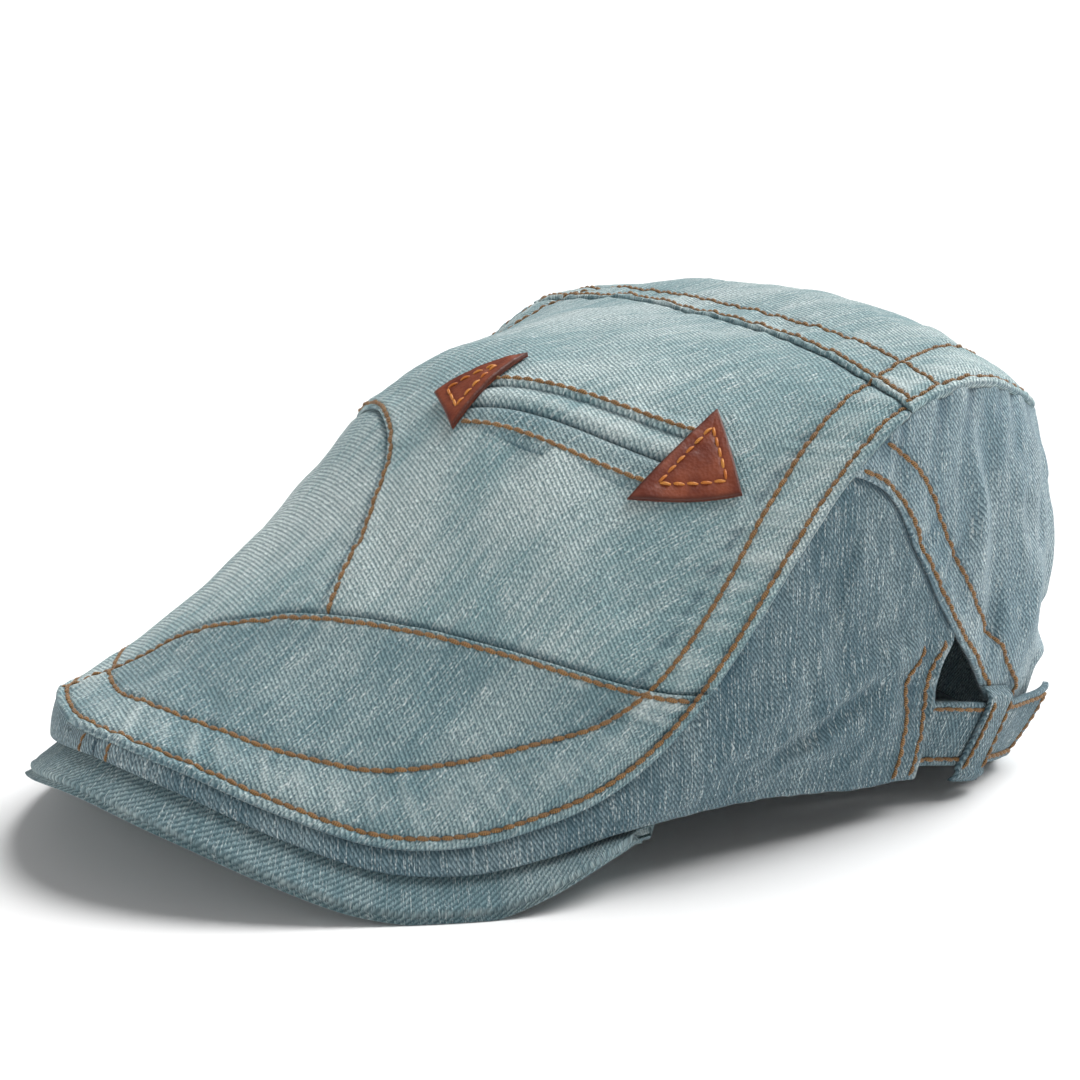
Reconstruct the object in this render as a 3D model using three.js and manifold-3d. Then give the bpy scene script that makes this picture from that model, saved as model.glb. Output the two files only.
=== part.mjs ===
// A flat cap of washed denim with a short stiff brim, lying on its rim.
// Millimetres. Nose towards -Y, wearer's left +X, up +Z.
import * as THREE from 'three';
import { mergeVertices } from 'three/addons/utils/BufferGeometryUtils.js';
import Module from 'manifold-3d';

// Crown: the perimeter seam seen from above is two half superellipses. The nose leans a few
// degrees to the wearer's left, where the front centre seam is.
const HALF_WIDTH = 92;
const FRONT = 147.5;
const BACK = 125;
const NOSE_POWER = 1.95;
const NOSE_LEAN = 5.5;
const BACK_POWER = 2.6;
const HEIGHT = 122;
const CROSS_POWER = 2.35;

// Cloth, leather and the clearances between pieces.
const CLOTH = 2;
const BRIM_THICK = 2.6;
const LEATHER = 1.4;
const WELT_RAISE = 0.5;
const GAP = 0.3;
const LAP = 0.6;

// Brim corners, as an angle from the nose, and the head opening in front of them.
const BRIM_CORNER = 67;
const HEAD_HALF_WIDTH = 84;
const HEAD_FRONT = 100;
const HEAD_MIDDLE_Y = 17;
const BRIM_FLAT = 3;
const BRIM_ARCH = 3;

// Pocket, in plan: the slit runs along its own direction from its first end.
const POCKET_X = 16;
const POCKET_Y = -44.5;
const POCKET_TURN = 38;
const POCKET_LENGTH = 60;
const POCKET_UPPER = 7.5;
const POCKET_LOWER = 5;
const POCKET_SLIT = 1.2;

// Adjusting strap at the wearer's left rear: angles of its ends, how far its cut end leans,
// its lower edge (shares of HEIGHT) and how far its tail stands off.
const STRAP_HEIGHT = 18.5;
const STRAP_THICK = 1.8;
const STRAP_START = 113.5;
const STRAP_END = 150;
const STRAP_CUT = 7;
const STRAP_LOW = 0.094;
const STRAP_DROP = 0.078;
const STRAP_EASE = 0.5;
const STRAP_FLARE = 3.5;

// Keeper loop over the strap: angle of its middle at the strap's lower edge, and its slant.
const LOOP_WIDTH = 10.5;
const LOOP_THICK = 1.4;
const LOOP_ANGLE = 130.2;
const LOOP_SLANT = 2.8;

// Around the cap, angle from the nose in degrees. Heights are shares of HEIGHT, the rest of
// HALF_WIDTH: seam and rim heights, how far the rim is tucked in, how far the wall swells.
const AROUND = [
  { angle: 0, seam: 0.306, rim: 0.255, tuck: -0.022, swell: 0.006 },
  { angle: 10, seam: 0.27, rim: 0.224, tuck: -0.022, swell: 0.006 },
  { angle: 20, seam: 0.197, rim: 0.151, tuck: -0.022, swell: 0.006 },
  { angle: 30, seam: 0.134, rim: 0.087, tuck: -0.022, swell: 0.006 },
  { angle: 40, seam: 0.125, rim: 0.073, tuck: -0.022, swell: 0.006 },
  { angle: 50, seam: 0.156, rim: 0.092, tuck: -0.018, swell: 0.008 },
  { angle: 60, seam: 0.208, rim: 0.118, tuck: 0, swell: 0.014 },
  { angle: 70, seam: 0.302, rim: 0.126, tuck: 0.022, swell: 0.022 },
  { angle: 80, seam: 0.442, rim: 0.127, tuck: 0.042, swell: 0.028 },
  { angle: 90, seam: 0.602, rim: 0.122, tuck: 0.05, swell: 0.03 },
  { angle: 100, seam: 0.762, rim: 0.106, tuck: 0.052, swell: 0.03 },
  { angle: 110, seam: 0.878, rim: 0.088, tuck: 0.052, swell: 0.035 },
  { angle: 120, seam: 0.93, rim: 0.078, tuck: 0.05, swell: 0.045 },
  { angle: 130, seam: 0.922, rim: 0.058, tuck: 0.046, swell: 0.065 },
  { angle: 140, seam: 0.865, rim: 0.024, tuck: 0.045, swell: 0.085 },
  { angle: 150, seam: 0.808, rim: -0.004, tuck: 0.045, swell: 0.092 },
  { angle: 165, seam: 0.79, rim: -0.008, tuck: 0.045, swell: 0.085 },
  { angle: 180, seam: 0.79, rim: -0.008, tuck: 0.045, swell: 0.075 },
];

// Midline of the crown: share of FRONT (negative) or BACK (positive), height share.
const MIDLINE = [
  { along: -1, height: 0.3 },
  { along: -0.92, height: 0.325 },
  { along: -0.8, height: 0.4 },
  { along: -0.53, height: 0.633 },
  { along: -0.27, height: 0.912 },
  { along: 0, height: 0.978 },
  { along: 0.33, height: 0.988 },
  { along: 0.66, height: 1 },
  { along: 1, height: 0.79 },
];

// Brim, angle from the nose: reach beyond the crown seam and height of the lower edge.
const BRIM_EDGE = [
  { angle: 0, reach: 0.087, edge: 0.19 },
  { angle: 10, reach: 0.087, edge: 0.15 },
  { angle: 20, reach: 0.087, edge: 0.073 },
  { angle: 27, reach: 0.087, edge: 0.022 },
  { angle: 34, reach: 0.087, edge: -0.002 },
  { angle: 42, reach: 0.085, edge: -0.002 },
  { angle: 50, reach: 0.075, edge: 0.036 },
  { angle: 60, reach: 0.03, edge: 0.09 },
  { angle: 67, reach: -0.05, edge: 0.092 },
];

// Brim at the head opening: share of the way to the corner, height share.
const BRIM_HEAD = [
  { share: 0, height: 0.39 },
  { share: 0.25, height: 0.36 },
  { share: 0.5, height: 0.27 },
  { share: 0.75, height: 0.165 },
  { share: 1, height: 0.118 },
];

// Lap seam between side and back, and how far the left side's end stands back from it at
// the adjusting gap: share of the way down the wall, angles in degrees.
const LAP_SEAM = [
  { down: 0, lap: 102, open: 0 },
  { down: 0.2, lap: 110, open: 0 },
  { down: 0.4, lap: 115.5, open: 0 },
  { down: 0.6, lap: 122.5, open: 0 },
  { down: 0.7, lap: 127.5, open: 6.8 },
  { down: 0.8, lap: 132, open: 11 },
  { down: 1, lap: 138, open: 18.2 },
];

// Seams across the crown in plan: shares of HALF_WIDTH (x) and of FRONT or BACK (y).
const ARCH_SEAM = [
  { x: -0.36, y: -1.06 },
  { x: -0.25, y: -0.93 },
  { x: -0.1, y: -0.79 },
  { x: 0.14, y: -0.69 },
  { x: 0.4, y: -0.57 },
  { x: 0.7, y: -0.39 },
  { x: 0.96, y: -0.165 },
  { x: 1.12, y: 0 },
];
const GUSSET_SEAM = [
  { x: 0.31, y: -0.63 },
  { x: 0.27, y: -0.6 },
  { x: 0.19, y: -0.52 },
  { x: 0.06, y: -0.425 },
  { x: -0.11, y: -0.37 },
  { x: -0.45, y: -0.315 },
  { x: -0.8, y: -0.27 },
  { x: -1.15, y: -0.24 },
];
const CROSS_SEAM = [
  { x: -1.15, y: 0.31 },
  { x: -0.5, y: 0.315 },
  { x: 0, y: 0.305 },
  { x: 0.5, y: 0.315 },
  { x: 1.15, y: 0.3 },
];

// Folds and gathers of the walls: ends as angle and share of the way down, height and
// spread in millimetres. A negative height is a hollow.
const FOLDS = [
  { angle: 90, down: 0.6, toAngle: 114, toDown: 0.62, height: 1.8, spread: 5 },
  { angle: 97, down: 0.84, toAngle: 111, toDown: 0.79, height: 1.6, spread: 4 },
  { angle: 66, down: 0.75, toAngle: 90, toDown: 0.5, height: 1, spread: 6 },
  { angle: 128, down: 0, toAngle: 131.5, toDown: 0.6, height: -2.2, spread: 4 },
  { angle: 141, down: 0, toAngle: 138, toDown: 0.75, height: 1.8, spread: 4.5 },
  { angle: 156, down: 0, toAngle: 154, toDown: 0.6, height: -1.8, spread: 4.5 },
  { angle: 172, down: 0, toAngle: 174, toDown: 0.6, height: -1.5, spread: 4 },
  { angle: -128, down: 0, toAngle: -131, toDown: 0.5, height: -1.8, spread: 4 },
  { angle: -142, down: 0, toAngle: -139, toDown: 0.6, height: 1.5, spread: 4.5 },
  { angle: -158, down: 0, toAngle: -156, toDown: 0.6, height: -1.8, spread: 4.5 },
  { angle: -86, down: 0.62, toAngle: -112, toDown: 0.6, height: 1.5, spread: 5 },
];

// Corners of the leather triangles along and across the pocket, shares of POCKET_LENGTH.
const TAB_LEFT = [
  { along: 0.176, across: 0.29 },
  { along: -0.164, across: 0.082 },
  { along: -0.002, across: -0.121 },
];
const TAB_RIGHT = [
  { along: 1.037, across: 0.218 },
  { along: 0.782, across: -0.19 },
  { along: 1.226, across: -0.04 },
];

const wasm = await Module();
wasm.setup();

const rad = THREE.MathUtils.degToRad;
const deg = THREE.MathUtils.radToDeg;

// A smooth curve through one column of a table; level at both ends when `level` is set.
function column(rows, at, key, level = true) {
  const last = rows.length - 1;
  const slope = (i) => {
    if (i === 0 || i === last) {
      if (level) return 0;
      const j = i === 0 ? 1 : last;
      return (rows[j][key] - rows[j - 1][key]) / (rows[j][at] - rows[j - 1][at]);
    }
    return (rows[i + 1][key] - rows[i - 1][key]) / (rows[i + 1][at] - rows[i - 1][at]);
  };
  return (value) => {
    const x = THREE.MathUtils.clamp(value, rows[0][at], rows[last][at]);
    let i = 0;
    while (i < last - 1 && x > rows[i + 1][at]) i += 1;
    const step = rows[i + 1][at] - rows[i][at];
    const t = (x - rows[i][at]) / step;
    const rise = t * t * (3 - 2 * t);
    const bend = t * (1 - t) * step * ((1 - t) * slope(i) - t * slope(i + 1));
    return rows[i][key] + (rows[i + 1][key] - rows[i][key]) * rise + bend;
  };
}

const seamShare = column(AROUND, 'angle', 'seam');
const rimShare = column(AROUND, 'angle', 'rim');
const tuckShare = column(AROUND, 'angle', 'tuck');
const swellShare = column(AROUND, 'angle', 'swell');
const midShare = column(MIDLINE, 'along', 'height', false);
const reachShare = column(BRIM_EDGE, 'angle', 'reach');
const edgeShare = column(BRIM_EDGE, 'angle', 'edge');
const headShare = column(BRIM_HEAD, 'share', 'height');
const lapAngle = column(LAP_SEAM, 'down', 'lap', false);
const lapOpen = column(LAP_SEAM, 'down', 'open', false);
const sideAngle = (down) => lapAngle(down) - Math.max(0, lapOpen(down));

// The same place as an angle between -180 and 180, and its distance from the nose.
const turned = (angle) => ((angle + 540) % 360) - 180;
const lean = (angle) => NOSE_LEAN * Math.max(0, Math.cos(rad(angle)));
const fromNose = (angle) => Math.abs(turned(angle) - lean(turned(angle)));
const seamHeight = (angle) => HEIGHT * seamShare(fromNose(angle));

// The crown seam in plan at an angle from the nose.
function seamPlan(angle) {
  const s = Math.sin(rad(angle));
  const c = Math.cos(rad(angle));
  const power = c > 0 ? NOSE_POWER : BACK_POWER;
  const length = c > 0 ? FRONT : BACK;
  const sum = Math.abs(s / HALF_WIDTH) ** power + Math.abs(c / length) ** power;
  const radius = sum ** (-1 / power);
  return new THREE.Vector2(radius * s, -radius * c);
}

// Outward direction of the crown seam in plan.
function outward(angle) {
  const along = seamPlan(angle + 0.5).sub(seamPlan(angle - 0.5)).normalize();
  return new THREE.Vector2(along.y, -along.x);
}

function halfWidth(y) {
  const power = y < 0 ? NOSE_POWER : BACK_POWER;
  const length = y < 0 ? FRONT : BACK;
  const share = Math.min(Math.abs(y / length), 0.99999);
  return HALF_WIDTH * (1 - share ** power) ** (1 / power);
}

// Height of the crown's outer surface over a place in plan.
function crownHeight(x, y) {
  const width = halfWidth(y);
  const edge = seamHeight(deg(Math.atan2(width, -y)));
  const middle = HEIGHT * midShare(y < 0 ? y / FRONT : y / BACK);
  const share = Math.min(Math.abs(x) / width, 1);
  return middle - (middle - edge) * share ** CROSS_POWER;
}

function crownNormal(x, y) {
  const step = 0.4;
  const k = Math.min(1, 1 - 1.2 * step / Math.max(Math.hypot(x, y), 2));
  const px = x * k;
  const py = y * k;
  const dx = (crownHeight(px + step, py) - crownHeight(px - step, py)) / (2 * step);
  const dy = (crownHeight(px, py + step) - crownHeight(px, py - step)) / (2 * step);
  return new THREE.Vector3(-dx, -dy, 1).normalize();
}

function crownPoint(x, y, lift = 0) {
  const normal = crownNormal(x, y);
  return new THREE.Vector3(x, y, crownHeight(x, y)).addScaledVector(normal, lift);
}

// Distance in millimetres from a place on the wall to a fold's line, and the fold's height.
function foldHeight(angle, down) {
  let sum = 0;
  const span = HEIGHT * (seamShare(fromNose(angle)) - rimShare(fromNose(angle)));
  const around = rad(1) * seamPlan(angle).length();
  for (const fold of FOLDS) {
    const ax = (fold.toAngle - fold.angle) * around;
    const ay = (fold.toDown - fold.down) * span;
    const bx = turned(angle - fold.angle) * around;
    const by = (down - fold.down) * span;
    const t = THREE.MathUtils.clamp((ax * bx + ay * by) / (ax * ax + ay * ay), 0, 1);
    const away = Math.hypot(bx - t * ax, by - t * ay) / fold.spread;
    const fade = Math.min(1, 6 * (1 - down), 0.25 + 6 * down);
    sum += fold.height * fade * Math.exp(-away * away);
  }
  return sum;
}

// A place on the wall, `down` 0 under the crown seam and 1 at the rim, `inside` the depth
// below the outer face.
function wallPoint(angle, down, inside = 0) {
  const a = fromNose(angle);
  const plan = seamPlan(angle);
  const out = outward(angle);
  const top = crownPoint(plan.x, plan.y, -CLOTH - LAP);
  const swell = swellShare(a) * 4 * down * (1 - down);
  const offset = HALF_WIDTH * (swell - tuckShare(a) * down) + foldHeight(angle, down) - inside;
  const bottom = HEIGHT * rimShare(a);
  const height = Math.max(0, top.z + (bottom - top.z) * down);
  return new THREE.Vector3(
    top.x + (plan.x - top.x) * down + out.x * offset,
    top.y + (plan.y - top.y) * down + out.y * offset,
    height,
  );
}

// A closed slab between two grids of points, `outer` above or outside `inner`.
function slab(outer, inner, columns, rows) {
  const positions = [];
  const index = [];
  const wide = rows + 1;
  const count = (columns + 1) * wide;
  for (const face of [outer, inner]) {
    for (let i = 0; i <= columns; i += 1) {
      for (let j = 0; j <= rows; j += 1) {
        positions.push(...face(i / columns, j / rows).toArray());
      }
    }
  }
  const at = (i, j, side) => side * count + i * wide + j;
  const quad = (a, b, c, d) => index.push(a, b, c, a, c, d);
  for (let i = 0; i < columns; i += 1) {
    for (let j = 0; j < rows; j += 1) {
      quad(at(i, j, 0), at(i, j + 1, 0), at(i + 1, j + 1, 0), at(i + 1, j, 0));
      quad(at(i, j, 1), at(i + 1, j, 1), at(i + 1, j + 1, 1), at(i, j + 1, 1));
    }
  }
  for (let i = 0; i < columns; i += 1) {
    quad(at(i, 0, 0), at(i + 1, 0, 0), at(i + 1, 0, 1), at(i, 0, 1));
    quad(at(i, rows, 0), at(i, rows, 1), at(i + 1, rows, 1), at(i + 1, rows, 0));
  }
  for (let j = 0; j < rows; j += 1) {
    quad(at(0, j, 0), at(0, j, 1), at(0, j + 1, 1), at(0, j + 1, 0));
    quad(at(columns, j, 0), at(columns, j + 1, 0), at(columns, j + 1, 1), at(columns, j, 1));
  }
  const geometry = new THREE.BufferGeometry();
  geometry.setAttribute('position', new THREE.Float32BufferAttribute(positions, 3));
  geometry.setIndex(index);
  return geometry;
}

// The whole crown as one closed shell: rings round the middle, outer face and inner face.
function crownShell(turns, rings) {
  const positions = [];
  const index = [];
  const count = 1 + turns * rings;
  for (const lift of [0, -CLOTH]) {
    positions.push(...crownPoint(0, 0, lift).toArray());
    for (let ring = 1; ring <= rings; ring += 1) {
      const share = Math.sin((Math.PI / 2) * (ring / rings));
      for (let turn = 0; turn < turns; turn += 1) {
        const plan = seamPlan(360 * turn / turns - 180).multiplyScalar(share);
        positions.push(...crownPoint(plan.x, plan.y, lift).toArray());
      }
    }
  }
  const at = (ring, turn, side) => {
    if (ring === 0) return side * count;
    return side * count + 1 + (ring - 1) * turns + (turn % turns);
  };
  for (let turn = 0; turn < turns; turn += 1) {
    index.push(at(0, 0, 0), at(1, turn, 0), at(1, turn + 1, 0));
    index.push(at(0, 0, 1), at(1, turn + 1, 1), at(1, turn, 1));
    for (let ring = 1; ring < rings; ring += 1) {
      const a = at(ring, turn, 0);
      const b = at(ring + 1, turn, 0);
      const c = at(ring + 1, turn + 1, 0);
      const d = at(ring, turn + 1, 0);
      index.push(a, b, c, a, c, d);
      index.push(a + count, c + count, b + count, a + count, d + count, c + count);
    }
    const e = at(rings, turn, 0);
    const f = at(rings, turn + 1, 0);
    index.push(e, e + count, f + count, e, f + count, f);
  }
  const geometry = new THREE.BufferGeometry();
  geometry.setAttribute('position', new THREE.Float32BufferAttribute(positions, 3));
  geometry.setIndex(index);
  return geometry;
}

function toSolid(geometry) {
  const bare = new THREE.BufferGeometry();
  bare.setAttribute('position', geometry.attributes.position.clone());
  bare.setIndex(geometry.index ? geometry.index.clone() : null);
  const merged = mergeVertices(bare, 1e-4);
  return new wasm.Manifold(new wasm.Mesh({
    numProp: 3,
    vertProperties: new Float32Array(merged.attributes.position.array),
    triVerts: new Uint32Array(merged.index.array),
  }));
}

function toGeometry(solid) {
  const mesh = solid.getMesh();
  const geometry = new THREE.BufferGeometry();
  geometry.setAttribute('position', new THREE.BufferAttribute(new Float32Array(mesh.vertProperties), 3));
  geometry.setIndex(new THREE.BufferAttribute(new Uint32Array(mesh.triVerts), 1));
  return geometry;
}

// An upright prism over an outline in plan, taller than the cap.
function prism(outline) {
  const shape = new THREE.Shape(outline.map((p) => new THREE.Vector2(p.x, p.y)));
  const geometry = new THREE.ExtrudeGeometry(shape, { depth: HEIGHT * 1.5, bevelEnabled: false });
  geometry.translate(0, 0, -HEIGHT * 0.2);
  return toSolid(geometry);
}

// A seam in plan as points along a smooth line.
function seamLine(rows, pieces) {
  const knots = rows.map((row) => new THREE.Vector2(
    row.x * HALF_WIDTH,
    row.y * (row.y < 0 ? FRONT : BACK),
  ));
  return new THREE.SplineCurve(knots).getPoints(pieces);
}

function beside(line, distance) {
  return line.map((point, i) => {
    const before = line[Math.max(i - 1, 0)];
    const after = line[Math.min(i + 1, line.length - 1)];
    const along = after.clone().sub(before).normalize();
    return new THREE.Vector2(point.x - along.y * distance, point.y + along.x * distance);
  });
}

function strip(line, width) {
  return [...beside(line, -width / 2), ...beside(line, width / 2).reverse()];
}

// A place in the pocket's own directions: along the slit and across it, uphill positive.
function pocketPlace(along, across) {
  const c = Math.cos(rad(POCKET_TURN));
  const s = Math.sin(rad(POCKET_TURN));
  return new THREE.Vector2(POCKET_X + along * c - across * s, POCKET_Y + along * s + across * c);
}

function pocketOutline(low, high, ends = 0) {
  return [
    pocketPlace(-ends, low),
    pocketPlace(POCKET_LENGTH + ends, low),
    pocketPlace(POCKET_LENGTH + ends, high),
    pocketPlace(-ends, high),
  ];
}

// A slab lying on the crown over a rectangle in the pocket's directions.
function crownPatch(low, high, from, to, lift, thick, columns, rows) {
  const place = (u, v) => pocketPlace(from + (to - from) * u, high + (low - high) * v);
  const face = (depth) => (u, v) => {
    const plan = place(u, v);
    return crownPoint(plan.x, plan.y, depth);
  };
  return slab(face(lift), face(lift - thick), columns, rows);
}

// Crown panels: the shell cut along its seams.
const arch = seamLine(ARCH_SEAM, 42);
const gusset = seamLine(GUSSET_SEAM, 28);
const cross = seamLine(CROSS_SEAM, 16);
const corner = (x, y) => new THREE.Vector2(x * HALF_WIDTH * 2, y * FRONT * 2);
const shell = toSolid(crownShell(88, 7));
const cutShell = shell
  .subtract(prism(strip(arch, GAP)))
  .subtract(prism(strip(cross, GAP)));
const frontSide = [...arch, corner(1, 0), corner(1, -1), corner(-1, -1)];
const rearSide = [...cross, corner(1, 1), corner(-1, 1)];
const gussetSide = [...gusset, corner(-1, -0.12), corner(-1, -1), corner(-0.2, -1), corner(0.3, -0.4)];
const frontPanel = cutShell.intersect(prism(frontSide));
const rearPanel = cutShell.intersect(prism(rearSide));
const middle = cutShell.subtract(prism(frontSide)).subtract(prism(rearSide));
const gussetPrism = prism(gussetSide);
const gussetPanel = middle.intersect(gussetPrism).subtract(prism(strip(gusset, GAP)));
const pocketHole = prism(pocketOutline(-POCKET_LOWER, POCKET_UPPER));
const topPanel = middle
  .subtract(gussetPrism)
  .subtract(prism(strip(gusset, GAP)))
  .subtract(pocketHole);

// Pocket welts fill the hole in the top panel on both sides of the slit.
const weltSlab = toSolid(crownPatch(
  -POCKET_LOWER - 4, POCKET_UPPER + 4, -4, POCKET_LENGTH + 4, WELT_RAISE, CLOTH + WELT_RAISE, 12, 4,
));
const upperWelt = weltSlab.intersect(prism(
  pocketOutline(POCKET_SLIT / 2, POCKET_UPPER - GAP, -GAP),
));
const lowerWelt = weltSlab.intersect(prism(
  pocketOutline(-POCKET_LOWER + GAP, -POCKET_SLIT / 2, -GAP),
));

// Leather triangles lie over the ends of the pocket.
const tabSlab = toSolid(crownPatch(
  -26, 26, -26, POCKET_LENGTH + 26, WELT_RAISE + GAP + LEATHER, LEATHER, 18, 8,
));
const tabOutline = (rows) => rows.map((row) => pocketPlace(
  row.along * POCKET_LENGTH,
  row.across * POCKET_LENGTH,
));
const leftTab = tabSlab.intersect(prism(tabOutline(TAB_LEFT)));
const rightTab = tabSlab.intersect(prism(tabOutline(TAB_RIGHT)));

// Walls: two sides from the front centre seam, and the gathered back.
const halfGap = (down) => deg(GAP / 2 / wallPoint(110, down).setZ(0).length());
function wallPanel(start, end, columns, rows) {
  const face = (inside) => (u, v) => {
    const angle = start(v) + (end(v) - start(v)) * u;
    return wallPoint(angle, v, inside);
  };
  return slab(face(0), face(CLOTH), columns, rows);
}
const frontEdge = deg(GAP / 2 / FRONT);
const leftSide = wallPanel(() => NOSE_LEAN + frontEdge, (v) => sideAngle(v) - halfGap(v), 42, 7);
const rightSide = wallPanel((v) => -lapAngle(v) + halfGap(v), () => NOSE_LEAN - frontEdge, 46, 7);
const backPanel = wallPanel((v) => lapAngle(v) + halfGap(v), (v) => 360 - lapAngle(v) - halfGap(v), 42, 7);

// Brim: from the head opening under the band to the outer edge.
function brimPoint(share, across, side) {
  const a = BRIM_CORNER * Math.abs(share);
  const angle = BRIM_CORNER * share + lean(a);
  const plan = seamPlan(angle);
  const out = outward(angle);
  const turn = rad(65 * share);
  const head = new THREE.Vector3(
    HEAD_HALF_WIDTH * Math.sin(turn),
    HEAD_MIDDLE_Y - HEAD_FRONT * Math.cos(turn),
    HEIGHT * headShare(Math.abs(share)),
  );
  const rest = HEIGHT * rimShare(a) - 2.5 * GAP;
  const under = -HALF_WIDTH * tuckShare(a) - CLOTH;
  const band = new THREE.Vector3(plan.x + out.x * under, plan.y + out.y * under, rest);
  const reach = HALF_WIDTH * reachShare(a);
  const edge = Math.max(0, HEIGHT * edgeShare(a));
  const tip = new THREE.Vector3(plan.x + out.x * reach, plan.y + out.y * reach, edge + BRIM_THICK);
  const inset = tip.clone().addScaledVector(new THREE.Vector3(out.x, out.y, 0), -BRIM_FLAT);
  inset.z = edge + BRIM_THICK;
  const drop = side === 0 ? 0 : BRIM_THICK;
  let point;
  if (across <= 0.5) {
    point = head.lerp(band, across * 2);
    point.z += BRIM_ARCH * Math.sin(Math.PI * across * 2) * (1 - share * share);
  } else if (side === 0) {
    point = band.lerp(tip, (across - 0.5) * 2);
  } else {
    const k = (across - 0.5) * 3;
    point = k <= 1 ? band.lerp(inset, k) : inset.lerp(tip, (across * 6 - 5));
  }
  point.z = Math.max(0, point.z - drop);
  return point;
}
const brimShape = slab(
  (u, v) => brimPoint(2 * u - 1, v, 0),
  (u, v) => brimPoint(2 * u - 1, v, 1),
  46, 6,
);

// Strap: from inside the side panel's end, out through the gap and round the back.
const STRAP_OUT_FROM = 121;
const STRAP_OUT_TO = 131;
const STRAP_FLARE_FROM = 141;
const strapEnd = (up) => STRAP_END - STRAP_CUT * (1 - up);
function strapPoint(angle, up, depth) {
  const k = (angle - STRAP_START) / (STRAP_END - STRAP_START);
  const low = HEIGHT * (STRAP_LOW - STRAP_DROP * THREE.MathUtils.smoothstep(k, 0.15, 1));
  const height = low + STRAP_HEIGHT * up;
  const down = THREE.MathUtils.clamp(
    (seamHeight(angle) - height) / (seamHeight(angle) - HEIGHT * rimShare(fromNose(angle))), 0, 1,
  );
  const out = outward(angle);
  const outside = THREE.MathUtils.smoothstep(angle, STRAP_OUT_FROM, STRAP_OUT_TO);
  const inside = -CLOTH - 2 * GAP - STRAP_THICK;
  const flare = STRAP_FLARE * THREE.MathUtils.smoothstep(angle, STRAP_FLARE_FROM, STRAP_END);
  const lift = inside + (GAP + STRAP_EASE - inside) * outside + flare;
  const point = wallPoint(angle, down);
  point.z = height;
  point.x += out.x * (lift + depth);
  point.y += out.y * (lift + depth);
  return point;
}
const strapFace = (depth) => (u, v) => {
  const angle = STRAP_START + (strapEnd(1 - v) - STRAP_START) * u;
  return strapPoint(angle, 1 - v, depth);
};
const strapShape = slab(strapFace(STRAP_THICK), strapFace(0), 26, 3);

// Loop: a slanting keeper band over the strap, its ends bent in above and below it.
const LOOP_ROWS = [1.24, 1.12, 0.9, 0.7, 0.5, 0.3, 0.1, -0.12, -0.24];
function loopPoint(u, v, depth) {
  const up = LOOP_ROWS[Math.round(v * (LOOP_ROWS.length - 1))];
  const middleAngle = LOOP_ANGLE + LOOP_SLANT * THREE.MathUtils.clamp(up, 0, 1);
  const angle = middleAngle + (u - 0.5) * deg(LOOP_WIDTH / seamPlan(middleAngle).length());
  const out = outward(angle);
  const over = v === 0 || v === 1 ? GAP : STRAP_THICK + GAP;
  const point = strapPoint(angle, THREE.MathUtils.clamp(up, 0, 1), 0);
  point.z += STRAP_HEIGHT * (up - THREE.MathUtils.clamp(up, 0, 1));
  point.x += out.x * (over + depth);
  point.y += out.y * (over + depth);
  return point;
}
const loopFace = (depth) => (u, v) => loopPoint(u, v, depth);
const loopShape = slab(loopFace(LOOP_THICK), loopFace(0), 3, LOOP_ROWS.length - 1);

const denim = { color: 0x7f989f, roughness: 0.92, metalness: 0 };
const darkDenim = { color: 0x5f7a86, roughness: 0.95, metalness: 0 };
const leather = { color: 0x7a3f2a, roughness: 0.55, metalness: 0 };

const cap = new THREE.Group();
function add(name, geometry, look) {
  const mesh = new THREE.Mesh(geometry, new THREE.MeshStandardMaterial(look));
  mesh.name = name;
  cap.add(mesh);
}
add('brim', brimShape, denim);
add('front_panel', toGeometry(frontPanel), denim);
add('gusset_panel', toGeometry(gussetPanel), denim);
add('top_panel', toGeometry(topPanel), denim);
add('rear_top_panel', toGeometry(rearPanel), denim);
add('side_panel_left', leftSide, denim);
add('side_panel_right', rightSide, denim);
add('back_panel', backPanel, denim);
add('pocket_upper_welt', toGeometry(upperWelt), denim);
add('pocket_lower_welt', toGeometry(lowerWelt), darkDenim);
add('leather_tab_left', toGeometry(leftTab), leather);
add('leather_tab_right', toGeometry(rightTab), leather);
add('strap', strapShape, denim);
add('strap_loop', loopShape, denim);

// The origin is under the middle of the whole cap, on the surface it lies on.
const box = new THREE.Box3().setFromObject(cap);
const centre = box.getCenter(new THREE.Vector3());
cap.position.set(-centre.x, -centre.y, -box.min.z);

export default cap;
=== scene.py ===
"""A flat cap of washed denim with a short stiff brim, lying on its rim.

Lengths are millimetres in the cap's own directions: nose towards -Y, wearer's left +X, up +Z.
make_mesh moves them to the frame's place and turns them to metres.
"""
import math

import bpy
import numpy as np
from mathutils import Matrix, Vector


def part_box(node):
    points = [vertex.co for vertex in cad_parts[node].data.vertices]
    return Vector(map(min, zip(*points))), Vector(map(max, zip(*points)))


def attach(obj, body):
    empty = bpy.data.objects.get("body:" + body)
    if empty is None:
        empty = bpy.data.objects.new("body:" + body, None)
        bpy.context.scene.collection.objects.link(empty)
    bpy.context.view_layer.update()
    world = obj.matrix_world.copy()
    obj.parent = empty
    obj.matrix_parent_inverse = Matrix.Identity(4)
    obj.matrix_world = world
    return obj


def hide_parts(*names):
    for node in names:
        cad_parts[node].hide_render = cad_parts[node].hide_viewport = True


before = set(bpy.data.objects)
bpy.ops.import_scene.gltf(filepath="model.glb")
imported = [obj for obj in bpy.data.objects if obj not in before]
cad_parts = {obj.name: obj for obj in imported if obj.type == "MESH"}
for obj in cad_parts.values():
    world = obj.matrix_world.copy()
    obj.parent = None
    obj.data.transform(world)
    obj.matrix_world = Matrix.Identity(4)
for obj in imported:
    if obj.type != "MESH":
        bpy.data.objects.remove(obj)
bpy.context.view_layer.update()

MM = 0.001

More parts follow.
